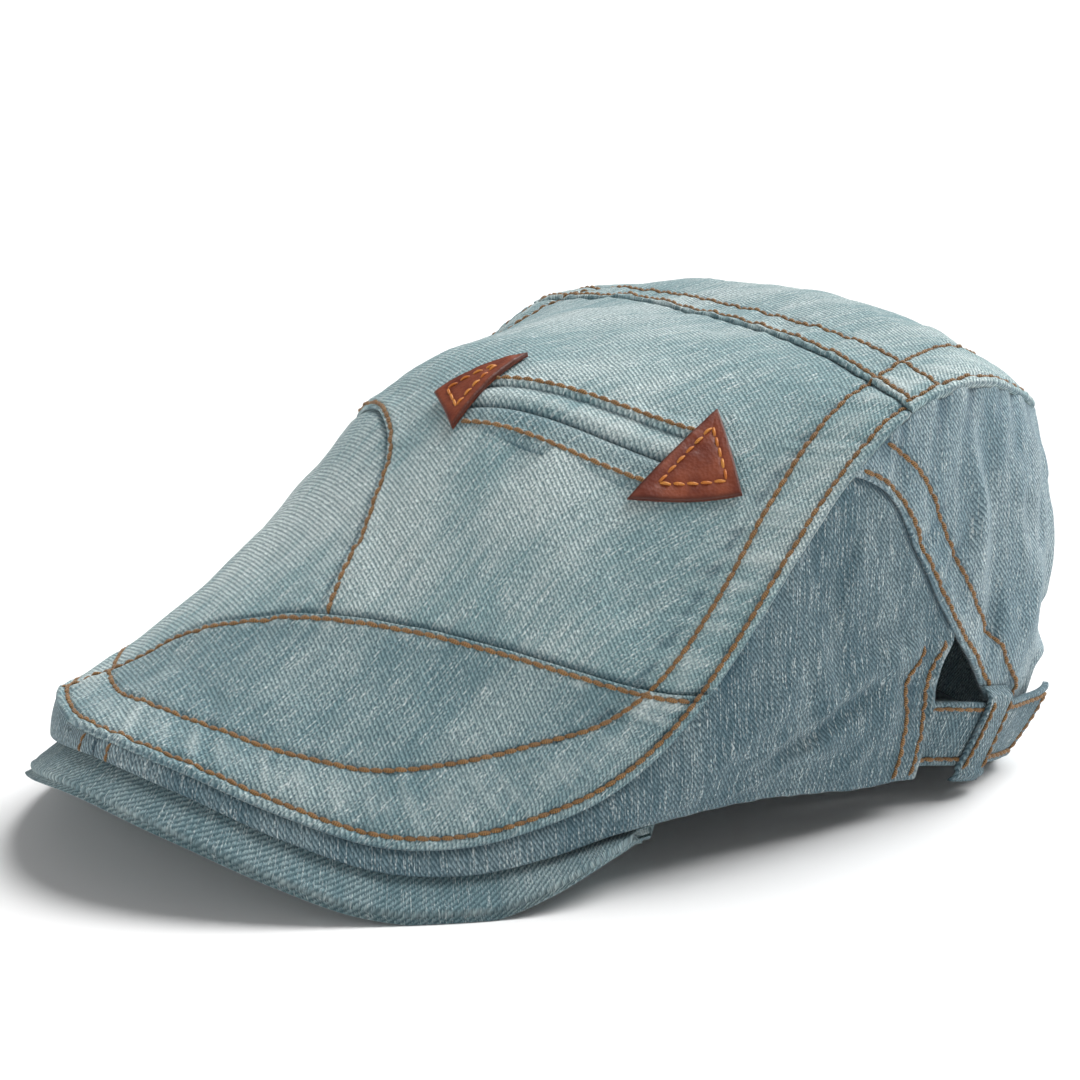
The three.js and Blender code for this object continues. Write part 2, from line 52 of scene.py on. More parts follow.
# The crown's plan and height, as the solids have them.
HALF_WIDTH = 92.0
FRONT = 147.5
BACK = 125.0
NOSE_POWER = 1.95
NOSE_LEAN = 5.5
BACK_POWER = 2.6
HEIGHT = 122.0
CROSS_POWER = 2.35

# Cloth: one layer of the crown and of the walls, how far a lapping edge rides up, the roll of a
# folded edge, the seam allowance, how far under the crown a wall begins, and how far below the
# smooth crown a hidden piece's inner face lies.
LAYER = 1.3
WALL_LAYER = 1.7
RIDE_UP = 0.55
EDGE_ROLL = 0.85
UNDERLAP = 5.0
WALL_TOP = 1.55
DEEP = 2.6

# Where the rows of topstitching run: distances in mm from a crown seam, the seams across it,
# the opening's end and the lap.
TOPSTITCH = 2.7
ARCH_ROW = 1.5
CROSS_ROWS = (2.0, 12.5)
END_ROWS = (2.6, 8.2)
LAP_ROWS = (1.9, 10.5)
TAB_INSET = 2.7
STRAP_ROW = 2.0

# Stitches: pitch, length of one and half the thread's width. Those of the nose and of the
# leather have their own.
STITCH_PITCH = 3.0
STITCH_LENGTH = 3.15
THREAD_RADIUS = 0.64
NOSE_STITCH = (2.4, 2.6, 0.42)
TAB_STITCH = (3.3, 2.7, 0.42)

# Relief: a row pulls the cloth down, and puckers run out from it in waves of a few mm.
ROW_SINK = (0.42, 0.75)
PUCKER = 0.24
OVER_WAVES = (6.2, 8.7, 12.5)
UNDER_WAVES = (6.6, 9.1, 13)
BAND_PUFF = 0.55
BAND_PUCKER = 0.34
POCKET_RECESS = 1.6
# Lengths on the walls for their gathers and pulls: a radius, mm per degree and mm from the seam
# to the rim.
WALL_RADIUS = 105.0
FOLD_PER_DEGREE = 1.8
FOLD_HIGH = 95.0

BRIM_THICK = 2.6
BRIM_CORNER = 67.0
BRIM_LENGTH = 190.0
BRIM_WIDTH = 12.0
BRIM_ARCH = 3.0
EDGE_THICKER = 0.8
HEAD_HALF_WIDTH = 84.0
HEAD_FRONT = 100.0
HEAD_MIDDLE_Y = 17.0

# Pocket: its start, turn and length, and its slit, lower and upper edge across it, each at the
# ends and how much further it is in the middle.
POCKET_X = 16.0
POCKET_Y = -44.5
POCKET_TURN = math.radians(38)
POCKET_LENGTH = 60.0
POCKET_SLIT = (-0.3, -1.4)
POCKET_LOW = (-4.3, -3.0)
POCKET_HIGH = (5.8, -0.3)
TAB_LIFT = 2.3
LEATHER = 1.4
# Where the small panel at the right front ends across the crown, a share of the half width.
GUSSET_TIP = 0.335

# Strap and its loop: angles in degrees from the nose, heights as shares of HEIGHT.
STRAP_HEIGHT = 18.5
STRAP_THICK = 1.8
STRAP_LENGTH = 72.0
STRAP_START = 113.5
STRAP_END = 150.0
STRAP_CUT = 7.0
STRAP_LOW = 0.094
STRAP_DROP = 0.078
STRAP_EASE = 0.5
STRAP_FLARE = 3.5
STRAP_OUT = (121.0, 131.0)
STRAP_FLARE_FROM = 141.0
LOOP_WIDTH = 10.5
LOOP_LENGTH = 27.0
LOOP_THICK = 1.3
LOOP_ANGLE = 130.2
LOOP_SLANT = 2.8
LOOP_ENDS = (-0.24, 1.24)
GAP = 0.3

# Camera: turned to the cap's left, raised, its distance and target in mm; its lens and shift in
# pixels of the 1080 px frame.
CAMERA_TURN = 59.0
CAMERA_RISE = 16.2
CAMERA_AWAY = 631.6
CAMERA_TARGET = (0, -15, 50)
FRAME_PX = 1080
LENS_PX = 2330.3
SHIFT_PX = (6.3, 47.8)

# Light: the soft sun's strength, angle and way, the fill's strength, and the sky's strength at
# the horizon, which shows white behind the floor, and above.
SUN_STRENGTH = 4.1
SUN_ANGLE = math.radians(50)
SUN_WAY = (0.0, -0.7, -1.0)
FILL_STRENGTH = 2.5
SKY_STRENGTH = (1.0, 0.2)

# Round the cap: angle from the nose, seam and rim height (shares of HEIGHT), how far the rim
# is tucked in and how far the wall swells (shares of HALF_WIDTH).
AROUND = np.array([
    (0, .306, .255, -.022, .006), (10, .27, .224, -.022, .006), (20, .197, .151, -.022, .006),
    (30, .134, .087, -.022, .006), (40, .125, .073, -.022, .006), (50, .156, .092, -.018, .008),
    (60, .208, .118, 0, .014), (70, .302, .126, .022, .022), (80, .442, .127, .042, .028),
    (90, .602, .122, .05, .03), (100, .762, .106, .052, .03), (110, .878, .088, .052, .035),
    (120, .93, .078, .05, .045), (130, .922, .058, .046, .065), (140, .865, .024, .045, .085),
    (150, .808, -.004, .045, .092), (165, .79, -.008, .045, .085), (180, .79, -.008, .045, .075),
])
# Midline of the crown: share of FRONT or BACK, height.
MIDLINE = np.array([
    (-1, .3), (-.92, .325), (-.8, .4), (-.53, .633), (-.27, .912),
    (0, .978), (.33, .988), (.66, 1), (1, .79),
])
# Brim: angle from the nose, reach beyond the seam, height of the lower edge.
BRIM_EDGE = np.array([
    (0, .087, .19), (10, .087, .15), (20, .087, .073), (27, .087, .022), (34, .087, -.002),
    (42, .085, -.002), (50, .075, .036), (60, .03, .09), (67, -.05, .092),
])
# Brim at the head opening: share of the way to its corner, height.
BRIM_HEAD = np.array([(0, .39), (.25, .36), (.5, .27), (.75, .165), (1, .118)])
# Lap of the back over the side: share of the way down, angle, and how far the left side's
# end stands back from it.
LAP_SEAM = np.array([
    (0, 102, 0), (.2, 110, 0), (.4, 115.5, 0), (.6, 122.5, 0), (.7, 127.5, 6.8), (.8, 132, 11),
    (1, 138, 18.2),
])
# Inner topstitch row: angle from the nose, distance from the crown seam.
BAND = np.array([
    (0, 15), (15, 14.3), (25, 16.6), (38, 20), (50, 19.6), (60, 16.8), (70, 15.3), (90, 15.6),
    (110, 16.5), (122, 18.4), (134, 21), (180, 20),
])
# Seams across the crown in plan: shares of HALF_WIDTH and of FRONT or BACK.
ARCH_SEAM = np.array([
    (-.36, -1.06), (-.25, -.93), (-.1, -.79), (.14, -.69), (.4, -.57), (.7, -.39), (.96, -.165),
    (1.12, 0),
])
GUSSET_SEAM = np.array([
    (.31, -.63), (.27, -.6), (.19, -.52), (.06, -.425), (-.11, -.37), (-.45, -.315), (-.8, -.27),
    (-1.15, -.24),
])
CROSS_SEAM = np.array([(-1.15, .31), (-.5, .315), (0, .305), (.5, .315), (1.15, .3)])
# Folds of the walls: two ends as angle and share of the way down, height, spread.
FOLDS = np.array([
    (90, .6, 114, .62, 1.8, 5), (97, .84, 111, .79, 1.6, 4), (66, .75, 90, .5, 1, 6),
    (128, 0, 131.5, .6, -2.2, 4), (141, 0, 138, .75, 1.8, 4.5), (156, 0, 154, .6, -1.8, 4.5),
    (172, 0, 174, .6, -1.5, 4), (-128, 0, -131, .5, -1.8, 4), (-142, 0, -139, .6, 1.5, 4.5),
    (-158, 0, -156, .6, -1.8, 4.5), (-86, .62, -112, .6, 1.5, 5),
])
# Pulls in the cloth of the walls, finer than the folds above: the same columns.
SIDE_FOLDS = np.array([
    (80, .76, 116, .6, 1.3, 3.4), (76, .93, 114, .7, 1.2, 3.2), (82, .86, 115, .66, -0.8, 3),
    (98, .5, 117, .58, -0.6, 4), (100, .97, 113, .8, 1.0, 2.4), (74, .62, 98, .42, 0.8, 5),
    (124, .04, 128, .5, 0.9, 2.2), (134, .02, 137, .5, 1.0, 2.4), (148, .02, 147, .6, 1.1, 2.6),
    (163, .02, 164, .5, 0.9, 2.6), (-120, .03, -124, .5, 0.9, 2.4), (-150, .02, -148, .6, 1.0, 2.6),
    (-90, .7, -118, .62, 1.1, 2.6), (142, .55, 160, .62, -1.2, 4), (140, .66, 158, .72, 1.1, 3),
])
# Corners of the leather triangles along and across the pocket: shares of POCKET_LENGTH.
TAB_LEFT = np.array([(.176, .29), (-.164, .082), (-.002, -.121)])
TAB_RIGHT = np.array([(1.037, .218), (.782, -.19), (1.226, -.04)])
# Sections of the pocket's lips: share of the way from the slit to the lip's edge, how far
# beyond that, height over the crown.
UPPER_LIP = np.array([
    (0, -.5, -2), (0, .25, -.3), (0, 1.1, .55), (0, 2.6, .85), (.65, 0, .45), (1, -.35, -.5),
    (1, .1, .2), (1, .7, .85), (1, 2.3, .6), (1, 4.2, .05), (1, 5.5, -.9),
])
LOWER_LIP = np.array([
    (0, -.1, -2), (0, -.75, -.5), (0, -1.7, .15), (.5, 0, .25), (1, 1, .1), (1, .45, .05),
    (1, -.1, .2), (1, -1.3, .65), (1, -2.8, .15), (1, -4, -.9),
])


def column(table, key, level=True):
    """A cubic curve through one column of a table over its first: slopes are those between
    the neighbours on each side, and level at the ends when asked."""
    x, y = table[:, 0], table[:, key]
    slope = np.zeros(len(x))
    slope[1:-1] = (y[2:] - y[:-2]) / (x[2:] - x[:-2])
    if not level:
        slope[0] = (y[1] - y[0]) / (x[1] - x[0])
        slope[-1] = (y[-1] - y[-2]) / (x[-1] - x[-2])

    def at(value):
        v = np.clip(value, x[0], x[-1])
        i = np.clip(np.searchsorted(x, v, side="right") - 1, 0, len(x) - 2)
        step = x[i + 1] - x[i]
        t = (v - x[i]) / step
        bend = t * (1 - t) * step * ((1 - t) * slope[i] - t * slope[i + 1])
        return y[i] + (y[i + 1] - y[i]) * t * t * (3 - 2 * t) + bend

    return at


seam_share = column(AROUND, 1)
rim_share = column(AROUND, 2)
tuck_share = column(AROUND, 3)
swell_share = column(AROUND, 4)
mid_share = column(MIDLINE, 1, False)
reach_share = column(BRIM_EDGE, 1)
edge_share = column(BRIM_EDGE, 2)
head_share = column(BRIM_HEAD, 1)
lap_angle = column(LAP_SEAM, 1, False)
lap_open = column(LAP_SEAM, 2, False)
band_inset = column(BAND, 1)


def turned(angle):
    """The same angle between -180 and 180."""
    return (angle + 540) % 360 - 180


def lean(angle):
    """How far the nose stands off the middle: its full lean there, none from the sides back."""
    return NOSE_LEAN * np.maximum(0, np.cos(np.radians(angle)))


def from_nose(angle):
    """Degrees round the cap from the nose, the same both ways."""
    a = turned(angle)
    return np.abs(a - lean(a))


def smooth(value, low, high):
    """0 below low, 1 above high and an even S between them."""
    t = np.clip((value - low) / (high - low), 0, 1)
    return t * t * (3 - 2 * t)


def seam_plan(angle):
    """The crown seam in plan: a superellipse read at an angle from the nose."""
    s, c = np.sin(np.radians(angle)), np.cos(np.radians(angle))
    power = np.where(c > 0, NOSE_POWER, BACK_POWER)
    length = np.where(c > 0, FRONT, BACK)
    radius = (np.abs(s / HALF_WIDTH) ** power + np.abs(c / length) ** power) ** (-1 / power)
    return np.stack([radius * s, -radius * c], -1)


def outward(angle):
    """Level direction square to the crown seam, pointing out."""
    along = seam_plan(angle + 0.5) - seam_plan(angle - 0.5)
    along /= np.linalg.norm(along, axis=-1, keepdims=True)
    return np.stack([along[..., 1], -along[..., 0]], -1)


def half_width(y):
    """The superellipse again: half the crown's width at a place front to back."""
    power = np.where(y < 0, NOSE_POWER, BACK_POWER)
    share = np.minimum(np.abs(y) / np.where(y < 0, FRONT, BACK), 0.99999)
    return HALF_WIDTH * (1 - share ** power) ** (1 / power)


def crown_height(x, y):
    """Midline height less its drop to the seam, which grows as a power of the way across."""
    width = half_width(y)
    edge = HEIGHT * seam_share(from_nose(np.degrees(np.arctan2(width, -y))))
    middle = HEIGHT * mid_share(y / np.where(y < 0, FRONT, BACK))
    share = np.minimum(np.abs(x) / width, 1)
    return middle - (middle - edge) * share ** CROSS_POWER


def crown_normal(x, y):
    """Unit normal from the slopes over a small step, taken a little inside the seam."""
    step = 0.4
    k = np.minimum(1, 1 - 1.2 * step / np.maximum(np.hypot(x, y), 2))
    px, py = x * k, y * k
    dx = (crown_height(px + step, py) - crown_height(px - step, py)) / (2 * step)
    dy = (crown_height(px, py + step) - crown_height(px, py - step)) / (2 * step)
    n = np.stack([-dx, -dy, np.ones_like(dx)], -1)
    return n / np.linalg.norm(n, axis=-1, keepdims=True)


def crown_point(x, y, lift=0.0):
    """A place on the crown, raised along its normal."""
    base = np.stack([x, y, crown_height(x, y)], -1)
    return base + crown_normal(x, y) * np.asarray(lift)[..., None]


def beside_fold(angle, down, ends, per_degree, high):
    """How far along a fold a place on the walls is, 0 to 1, and how far from it in mm, with mm
    per degree and over the whole way down."""
    start, start_down, end, end_down = ends
    ax, ay = (end - start) * per_degree, (end_down - start_down) * high
    bx, by = turned(angle - start) * per_degree, (down - start_down) * high
    t = np.clip((ax * bx + ay * by) / (ax * ax + ay * ay), 0, 1)
    return t, np.hypot(bx - t * ax, by - t * ay)


def fold_height(angle, down):
    """Sum of the folds: each a bell across its line, fading towards seam and rim."""
    a = from_nose(angle)
    high = HEIGHT * (seam_share(a) - rim_share(a))
    per_degree = np.radians(1) * np.linalg.norm(seam_plan(angle), axis=-1)
    fade = np.minimum(np.minimum(1, 6 * (1 - down)), 0.25 + 6 * down)
    total = np.zeros(np.broadcast(angle, down).shape)
    for *ends, height, spread in FOLDS:
        away = beside_fold(angle, down, ends, per_degree, high)[1] / spread
        total += height * fade * np.exp(-away * away)
    return total


def wall_point(angle, down, top_depth=WALL_TOP):
    """Wall from just under the crown seam (down 0) to the rim (1): a straight line between
    them, pushed out by the swell and folds and in by the tuck. Above 0 it runs inward under
    the crown, as a seam allowance."""
    a = from_nose(angle)
    plan, out = seam_plan(angle), outward(angle)
    d = np.clip(down, 0, 1)
    top = crown_point(plan[..., 0], plan[..., 1], -top_depth * np.ones_like(d))
    swell = swell_share(a) * 4 * d * (1 - d)
    offset = HALF_WIDTH * (swell - tuck_share(a) * d) + fold_height(angle, d)
    height = top[..., 2] + (HEIGHT * rim_share(a) - top[..., 2]) * d
    xy = top[..., :2] + (plan - top[..., :2]) * d[..., None] + out * offset[..., None]
    wall = np.concatenate([xy, np.maximum(0, height)[..., None]], -1)
    inward = UNDERLAP * np.clip(-down, 0, 1)
    under = plan - out * inward[..., None]
    hidden = crown_point(under[..., 0], under[..., 1], -top_depth * np.ones_like(d))
    return np.where((down < 0)[..., None], hidden, wall)


def length_along(line):
    """Length from a line's start to each of its points: the sum of its steps."""
    return np.concatenate([[0], np.cumsum(np.linalg.norm(np.diff(line, axis=0), axis=1))])


def spline(knots):
    """Even cubic through given knots: each piece's slopes come from the knots beside it."""
    p = np.vstack([2 * knots[:1] - knots[1:2], knots, 2 * knots[-1:] - knots[-2:-1]])
    t = np.linspace(0, len(knots) - 1, 161)
    i = np.minimum(t.astype(int), len(knots) - 2)
    f = (t - i)[:, None]
    a, b, c, d = p[i], p[i + 1], p[i + 2], p[i + 3]
    return 0.5 * (2 * b + (c - a) * f + (2 * a - 5 * b + 4 * c - d) * f ** 2
                  + (3 * b - a - 3 * c + d) * f ** 3)


def to_line(points, line):
    """Distance from places to a drawn line, and how far along the line the nearest place is."""
    flat = points.reshape(-1, 3)
    start, step = line[:-1], np.diff(line, axis=0)
    size = (step * step).sum(1)
    run = length_along(line)[:-1]
    far, along = np.empty(len(flat)), np.empty(len(flat))
    for part in np.array_split(np.arange(len(flat)), len(flat) // 3000 + 1):
        gap = flat[part][:, None] - start[None]
        t = np.clip((gap * step).sum(-1) / size, 0, 1)
        away = np.linalg.norm(gap - step * t[..., None], axis=-1)
        best = away.argmin(1)
        pick = np.arange(len(part))
        far[part] = away[pick, best]
        along[part] = run[best] + t[pick, best] * np.sqrt(size[best])
    return far.reshape(points.shape[:-1]), along.reshape(points.shape[:-1])


def ripple(t, lengths, seed):
    """Uneven waves along a row: sines of the given lengths in mm, each sped up and slowed
    down by a longer one; about -1 to 1."""
    rng = np.random.default_rng(seed)
    total = 0
    for length in lengths:
        phase, drift = rng.uniform(0, 2 * np.pi, 2)
        slow = 1.6 * np.sin(2 * np.pi * t / (length * 4.7) + drift)
        total = total + np.sin(2 * np.pi * t / length + phase + slow)
    return total / math.sqrt(len(lengths))


def crumple(points, size, seed):
    """Soft dents: nine plane waves in random directions, about size mm long, bent by one
    another."""
    rng = np.random.default_rng(seed)
    waves = 9
    total = 0
    for _ in range(waves):
        direction = rng.normal(size=3)
        direction *= 2 * np.pi * rng.uniform(0.7, 1.6) / (size * np.linalg.norm(direction))
        total = total + np.sin(points @ direction + rng.uniform(0, 2 * np.pi) + 0.6 * total)
    return total / math.sqrt(waves)


def groove(d, at, depth, width):
    """A bell-shaped dip of a depth and half width, centred at a distance."""
    return -depth * np.exp(-((d - at) / width) ** 2)


def rolled(d):
    """Drop of a folded edge: a quarter circle over the last EDGE_ROLL mm."""
    k = np.clip(1 - d / EDGE_ROLL, 0, 1)
    return -EDGE_ROLL * (1 - np.sqrt(1 - k * k))


def plan_line(table):
    """A seam in plan: the cubic through its shares, times the half width and front or back."""
    line = spline(table)
    y = line[:, 1] * np.where(line[:, 1] < 0, FRONT, BACK)
    return np.stack([line[:, 0] * HALF_WIDTH, y], -1)


def inside_crown(line):
    """The stretch of a plan line that lies on the crown, lifted to its surface."""
    keep = np.abs(line[:, 0]) <= half_width(line[:, 1])
    keep &= (line[:, 1] > -FRONT) & (line[:, 1] < BACK)
    kept = line[keep]
    return crown_point(kept[:, 0], kept[:, 1])


def across_at(line):
    """The line's y as a function of how far across the crown it is, -1 to 1."""
    share = line[:, 0] / np.maximum(half_width(np.clip(line[:, 1], -FRONT, BACK)), 1)
    order = np.argsort(share)
    share, y = share[order], line[order, 1]
    return lambda s: np.interp(s, share, y)


# Seams of the crown: in plan, as lines on its surface, and as y over the way across.
arch_plan, gusset_plan, cross_plan = map(plan_line, (ARCH_SEAM, GUSSET_SEAM, CROSS_SEAM))
arch_line, gusset_line, cross_line = map(inside_crown, (arch_plan, gusset_plan, cross_plan))
arch_y, gusset_y, cross_y = map(across_at, (arch_plan, gusset_plan, cross_plan))
round_angles = np.linspace(-180, 180, 361)
seam_xy = seam_plan(round_angles)
seam_line = crown_point(seam_xy[:, 0], seam_xy[:, 1])
seam_run = length_along(seam_line)


def share_across(x, y):
    """How far across the crown a place is, -1 to 1."""
    return x / np.maximum(half_width(y), 0.5)


def pocket_place(along, across):
    """A place along the slit and across it, turned and moved to its place in plan."""
    c, s = math.cos(POCKET_TURN), math.sin(POCKET_TURN)
    return POCKET_X + along * c - across * s, POCKET_Y + along * s + across * c


def pocket_own(x, y):
    """A place in plan in the pocket's directions: along the slit and uphill across it."""
    c, s = math.cos(POCKET_TURN), math.sin(POCKET_TURN)
    dx, dy = x - POCKET_X, y - POCKET_Y
    return dx * c + dy * s, dy * c - dx * s


def pocket_sag(along):
    """Half a sine over the pocket: 0 at its ends, 1 in the middle."""
    return np.sin(np.pi * np.clip(along / POCKET_LENGTH, 0, 1))


def slit_at(along):
    """The slit, sagging downhill in the middle."""
    return POCKET_SLIT[0] + POCKET_SLIT[1] * pocket_sag(along)


def pocket_low(along):
    """The lower lip's edge, sagging more than the slit."""
    return POCKET_LOW[0] + POCKET_LOW[1] * pocket_sag(along)


def pocket_high(along):
    """The upper lip's edge, nearly straight."""
    return POCKET_HIGH[0] + POCKET_HIGH[1] * pocket_sag(along)


def seam_relief(d, run, role, rows, seed):
    """Lift of a panel beside a seam, d mm from it: a lapping panel rides up and rolls over at
    its edge, the other dips under it; puckers run out from the stitching."""
    if role == "over":
        lift = RIDE_UP * (1 - smooth(d, 2, 7)) + rolled(np.maximum(d, 0))
    else:
        lift = -1.0 * (1 - smooth(d, 0, 2.2)) - 0.75 * smooth(-d, 0, 1.2)
    for at in rows:
        lift = lift + groove(d, at, *ROW_SINK)
        pull = np.exp(-np.abs(d - at) / 4.5) * smooth(d, 0.4, 1.6)
        lift = lift + PUCKER * pull * ripple(run + 0.45 * d, OVER_WAVES, seed)
    if role == "under":
        pull = np.exp(-np.abs(d) / 5.5) * smooth(d, 0.5, 2.5)
        lift = lift + PUCKER * pull * ripple(run - 0.3 * d, UNDER_WAVES, seed)
    return lift


def band_relief(points):
    """The puffed strip along the crown seam between its two rows, gathered across."""
    d, run = to_line(points, seam_line)
    angle = np.interp(run, seam_run, round_angles)
    inner = band_inset(from_nose(angle))
    within = np.clip((d - TOPSTITCH) / (inner - TOPSTITCH), 0, 1)
    lift = BAND_PUFF * np.sin(np.pi * within) ** 0.8
    lift = lift + groove(d, TOPSTITCH, 0.5, 0.8) + groove(d, inner, 0.5, 0.9)
    lift = lift + 0.3 * np.exp(-((d - 1.3) / 0.8) ** 2)
    pull = np.exp(-np.abs(d - TOPSTITCH) / 4.5) + 0.8 * np.exp(-np.abs(d - inner) / 4.0)
    lift = lift + BAND_PUCKER * pull * smooth(d, 0.2, 1.2) * ripple(run + 0.5 * d, (5.8, 8.3, 12), 11)
    return lift + rolled(d), d


def pocket_relief(x, y):
    """The hollow under the pocket's lips, and the pulls in the cloth below them."""
    along, across = pocket_own(x, y)
    low, high = pocket_low(along), pocket_high(along)
    inside = smooth(along, -2, 2) * (1 - smooth(along, POCKET_LENGTH - 2, POCKET_LENGTH + 2))
    inside = inside * smooth(across, low - 1.5, low + 0.5)
    inside = inside * (1 - smooth(across, high + 0.5, high + 3))
    pulls = np.exp(-np.maximum(0, low - across - 1) / 7)
    pulls = pulls * smooth(low - across, 0, 2) * smooth(along, -8, 4)
    pulls = pulls * (1 - smooth(along, POCKET_LENGTH - 4, POCKET_LENGTH + 8))
    return 0.14 * pulls * ripple(along + 0.4 * across, (7, 10, 15), 51) - POCKET_RECESS * inside


# Seams across the crown: the line, its y over the way across, 1 if the lapping panel lies
# behind it or -1 before it, that panel, those under it, the share across up to which it laps,
# its rows, and the seeds of the puckers over and under it.
CROWN_SEAMS = (
    (arch_line, arch_y, -1, "front", ("gusset", "top"), 2, (ARCH_ROW,), (21, 21)),
    (gusset_line, gusset_y, 1, "top", ("gusset",), GUSSET_TIP + 0.02, (ARCH_ROW,), (31, 32)),
    (cross_line, cross_y, 1, "rear", ("top",), 2, CROSS_ROWS, (41, 42)),
)


def crown_relief(x, y, panel):
    """All the lift of one crown panel over the smooth crown, and the wear and painted shade that it
    brings: the sum of the band, its seams, the pocket's hollow and pulls, and soft dents."""
    points = crown_point(x, y)
    lift, edge = band_relief(points)
    s = share_across(x, y)
    for line, seam_y, behind, over, under, reach, rows, seeds in CROWN_SEAMS:
        if panel != over and panel not in under:
            continue
        d, run = to_line(points, line)
        beyond = np.where((y - seam_y(s)) * behind > 0, d, -d)
        if panel == over:
            near = np.where(s < reach, 1.0, 0.0)
            lift = lift + near * seam_relief(beyond, run, "over", rows, seeds[0])
        else:
            lift = lift + seam_relief(-beyond, run, "under", (), seeds[1])
    if panel == "top":
        lift = lift + pocket_relief(x, y)
    calm = smooth(edge, 2, 12)
    soft = 0.42 * calm * crumple(points, 34, 61) + 0.1 * calm * crumple(points, 11, 62)
    return lift + soft, wear_and_shade_of(lift, soft)


def cloth_across(x, y):
    """Cloth lengths to a place on the crown: across from the midline, and along from y 0,
    each by the mean slope on the way."""
    t = (np.arange(20) + 0.5) / 20
    xs, ys = x[..., None] * t, y[..., None]
    slope = (crown_height(xs + 0.3, ys) - crown_height(xs - 0.3, ys)) / 0.6
    across = x * np.sqrt(1 + slope ** 2).mean(-1)
    yt = y[..., None] * t
    inner = np.clip(x, -0.97 * half_width(y), 0.97 * half_width(y))[..., None]
    slope = (crown_height(inner, yt + 0.3) - crown_height(inner, yt - 0.3)) / 0.6
    along = y * np.sqrt(1 + np.minimum(slope ** 2, 4)).mean(-1)
    return np.stack([across, along], -1)


# Places are moved from the cap's own origin to the frame's by two faces of the solids.
SHIFT = np.array([
    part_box("top_panel")[1].x / MM - HALF_WIDTH,
    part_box("rear_top_panel")[1].y / MM - BACK,
    0.0,
])


def make_mesh(name, points, faces, cloth, wear_and_shade):
    """A mesh object from arrays: faces are rows of four corners, a repeated last corner makes
    a triangle. The faces are turned to point out by the sign of the enclosed volume."""
    p = (points + SHIFT) * MM
    first, second, third, fourth = (p[faces[:, k]] for k in range(4))
    volume = np.einsum("ij,ij->i", first, np.cross(second, third) + np.cross(third, fourth)).sum()
    if volume < 0:
        faces = faces[:, ::-1]
    four = faces[:, 0] != faces[:, 3]
    three = [0, 1, 2] if volume >= 0 else [1, 2, 3]
    corners = [faces[four], faces[~four][:, three]]
    flat = np.concatenate([c.ravel() for c in corners])
    counts = np.concatenate([np.full(len(c), c.shape[1]) for c in corners])
    mesh = bpy.data.meshes.new(name)
    mesh.vertices.add(len(p))
    mesh.vertices.foreach_set("co", p.astype(np.float32).ravel())
    mesh.loops.add(len(flat))
    mesh.loops.foreach_set("vertex_index", flat.astype(np.int32))
    mesh.polygons.add(len(counts))
    starts = np.concatenate([[0], np.cumsum(counts)[:-1]])
    mesh.polygons.foreach_set("loop_start", starts.astype(np.int32))
    mesh.polygons.foreach_set("use_smooth", np.ones(len(counts), bool))
    mesh.update(calc_edges=True)
    layer = mesh.uv_layers.new(name="cloth")
    layer.data.foreach_set("uv", cloth[flat].astype(np.float32).ravel())
    # Per place: on denim, pale wear and painted shade in hollows; on leather, its dark cut edge; on
    # thread, each stitch's tone.
    mark = mesh.attributes.new("wear_and_shade", "FLOAT", "POINT")
    mark.data.foreach_set("value", wear_and_shade.astype(np.float32))
    mesh.validate()
    piece = bpy.data.objects.new(name, mesh)
    bpy.context.scene.collection.objects.link(piece)
    return piece


def slab_faces(columns, rows):
    """Corners of a closed slab: two grids of points, the outer first, joined round the edge."""
    i, j = np.meshgrid(np.arange(columns - 1), np.arange(rows - 1), indexing="ij")
    a = (i * rows + j).ravel()
    top = np.stack([a, a + rows, a + rows + 1, a + 1], -1)
    count = columns * rows
    under = top[:, ::-1] + count
    ring = np.concatenate([
        np.arange(columns) * rows,
        (columns - 1) * rows + np.arange(1, rows),
        np.arange(columns - 2, -1, -1) * rows + rows - 1,
        np.arange(rows - 2, 0, -1),
    ])
    after = np.roll(ring, -1)
    side = np.stack([after, ring, ring + count, after + count], -1)
    return np.concatenate([top, under, side])


def grid_normals(points):
    """Unit normals of a grid of points from its steps along both ways."""
    n = np.cross(np.gradient(points, axis=0), np.gradient(points, axis=1))
    size = np.linalg.norm(n, axis=-1, keepdims=True)
    return n / np.maximum(size, 1e-9)


def slab(name, outer, inner, cloth, wear_and_shade):
    """A closed sheet from its outer and inner face. The cloth map runs on over the edge by the
    sheet's thickness, so that the weave isn't drawn out there."""
    columns, rows = outer.shape[:2]
    points = np.concatenate([outer.reshape(-1, 3), inner.reshape(-1, 3)])
    thick = np.linalg.norm(outer - inner, axis=-1)
    turned_in = cloth + np.stack([0 * thick, thick], -1)
    uv = np.concatenate([cloth.reshape(-1, 2), turned_in.reshape(-1, 2)])
    marks = np.concatenate([wear_and_shade.ravel(), np.zeros(columns * rows)])
    return make_mesh(name, points, slab_faces(columns, rows), uv, marks)


def stations(length, step, fine_start=True, fine_end=True):
    """Shares 0 to 1 along a length in mm, closer together near an edge that rolls over."""
    close = np.array([0, 0.12, 0.35, 0.7, 1.15, 1.8])
    start = close if fine_start else close[:1]
    end = length - (close if fine_end else close[:1])[::-1]
    between = end[0] - start[-1]
    count = max(2, int(round(between / step)))
    middle = np.linspace(start[-1], end[0], count + 1)[1:-1]
    return np.concatenate([start, middle, end]) / length


def wear_and_shade_of(lift, soft):
    """Wash wear shows pale on raised cloth, and painted shade darkens the hollows: from the seams'
    lift, and a little of the soft dents."""
    return np.clip((lift - 0.28) / 0.7 + 0.1 * soft, -1, 1)


def crown_panel(name, x, y, panel):
    """A crown panel over a grid of plan places: the smooth crown raised by its relief, and
    the same again one cloth layer deeper."""
    lift, wear_and_shade = crown_relief(x, y, panel)
    outer = crown_point(x, y, lift)
    inner = crown_point(x, y, lift - LAYER)
    return slab(name, outer, inner, cloth_across(x, y), wear_and_shade)


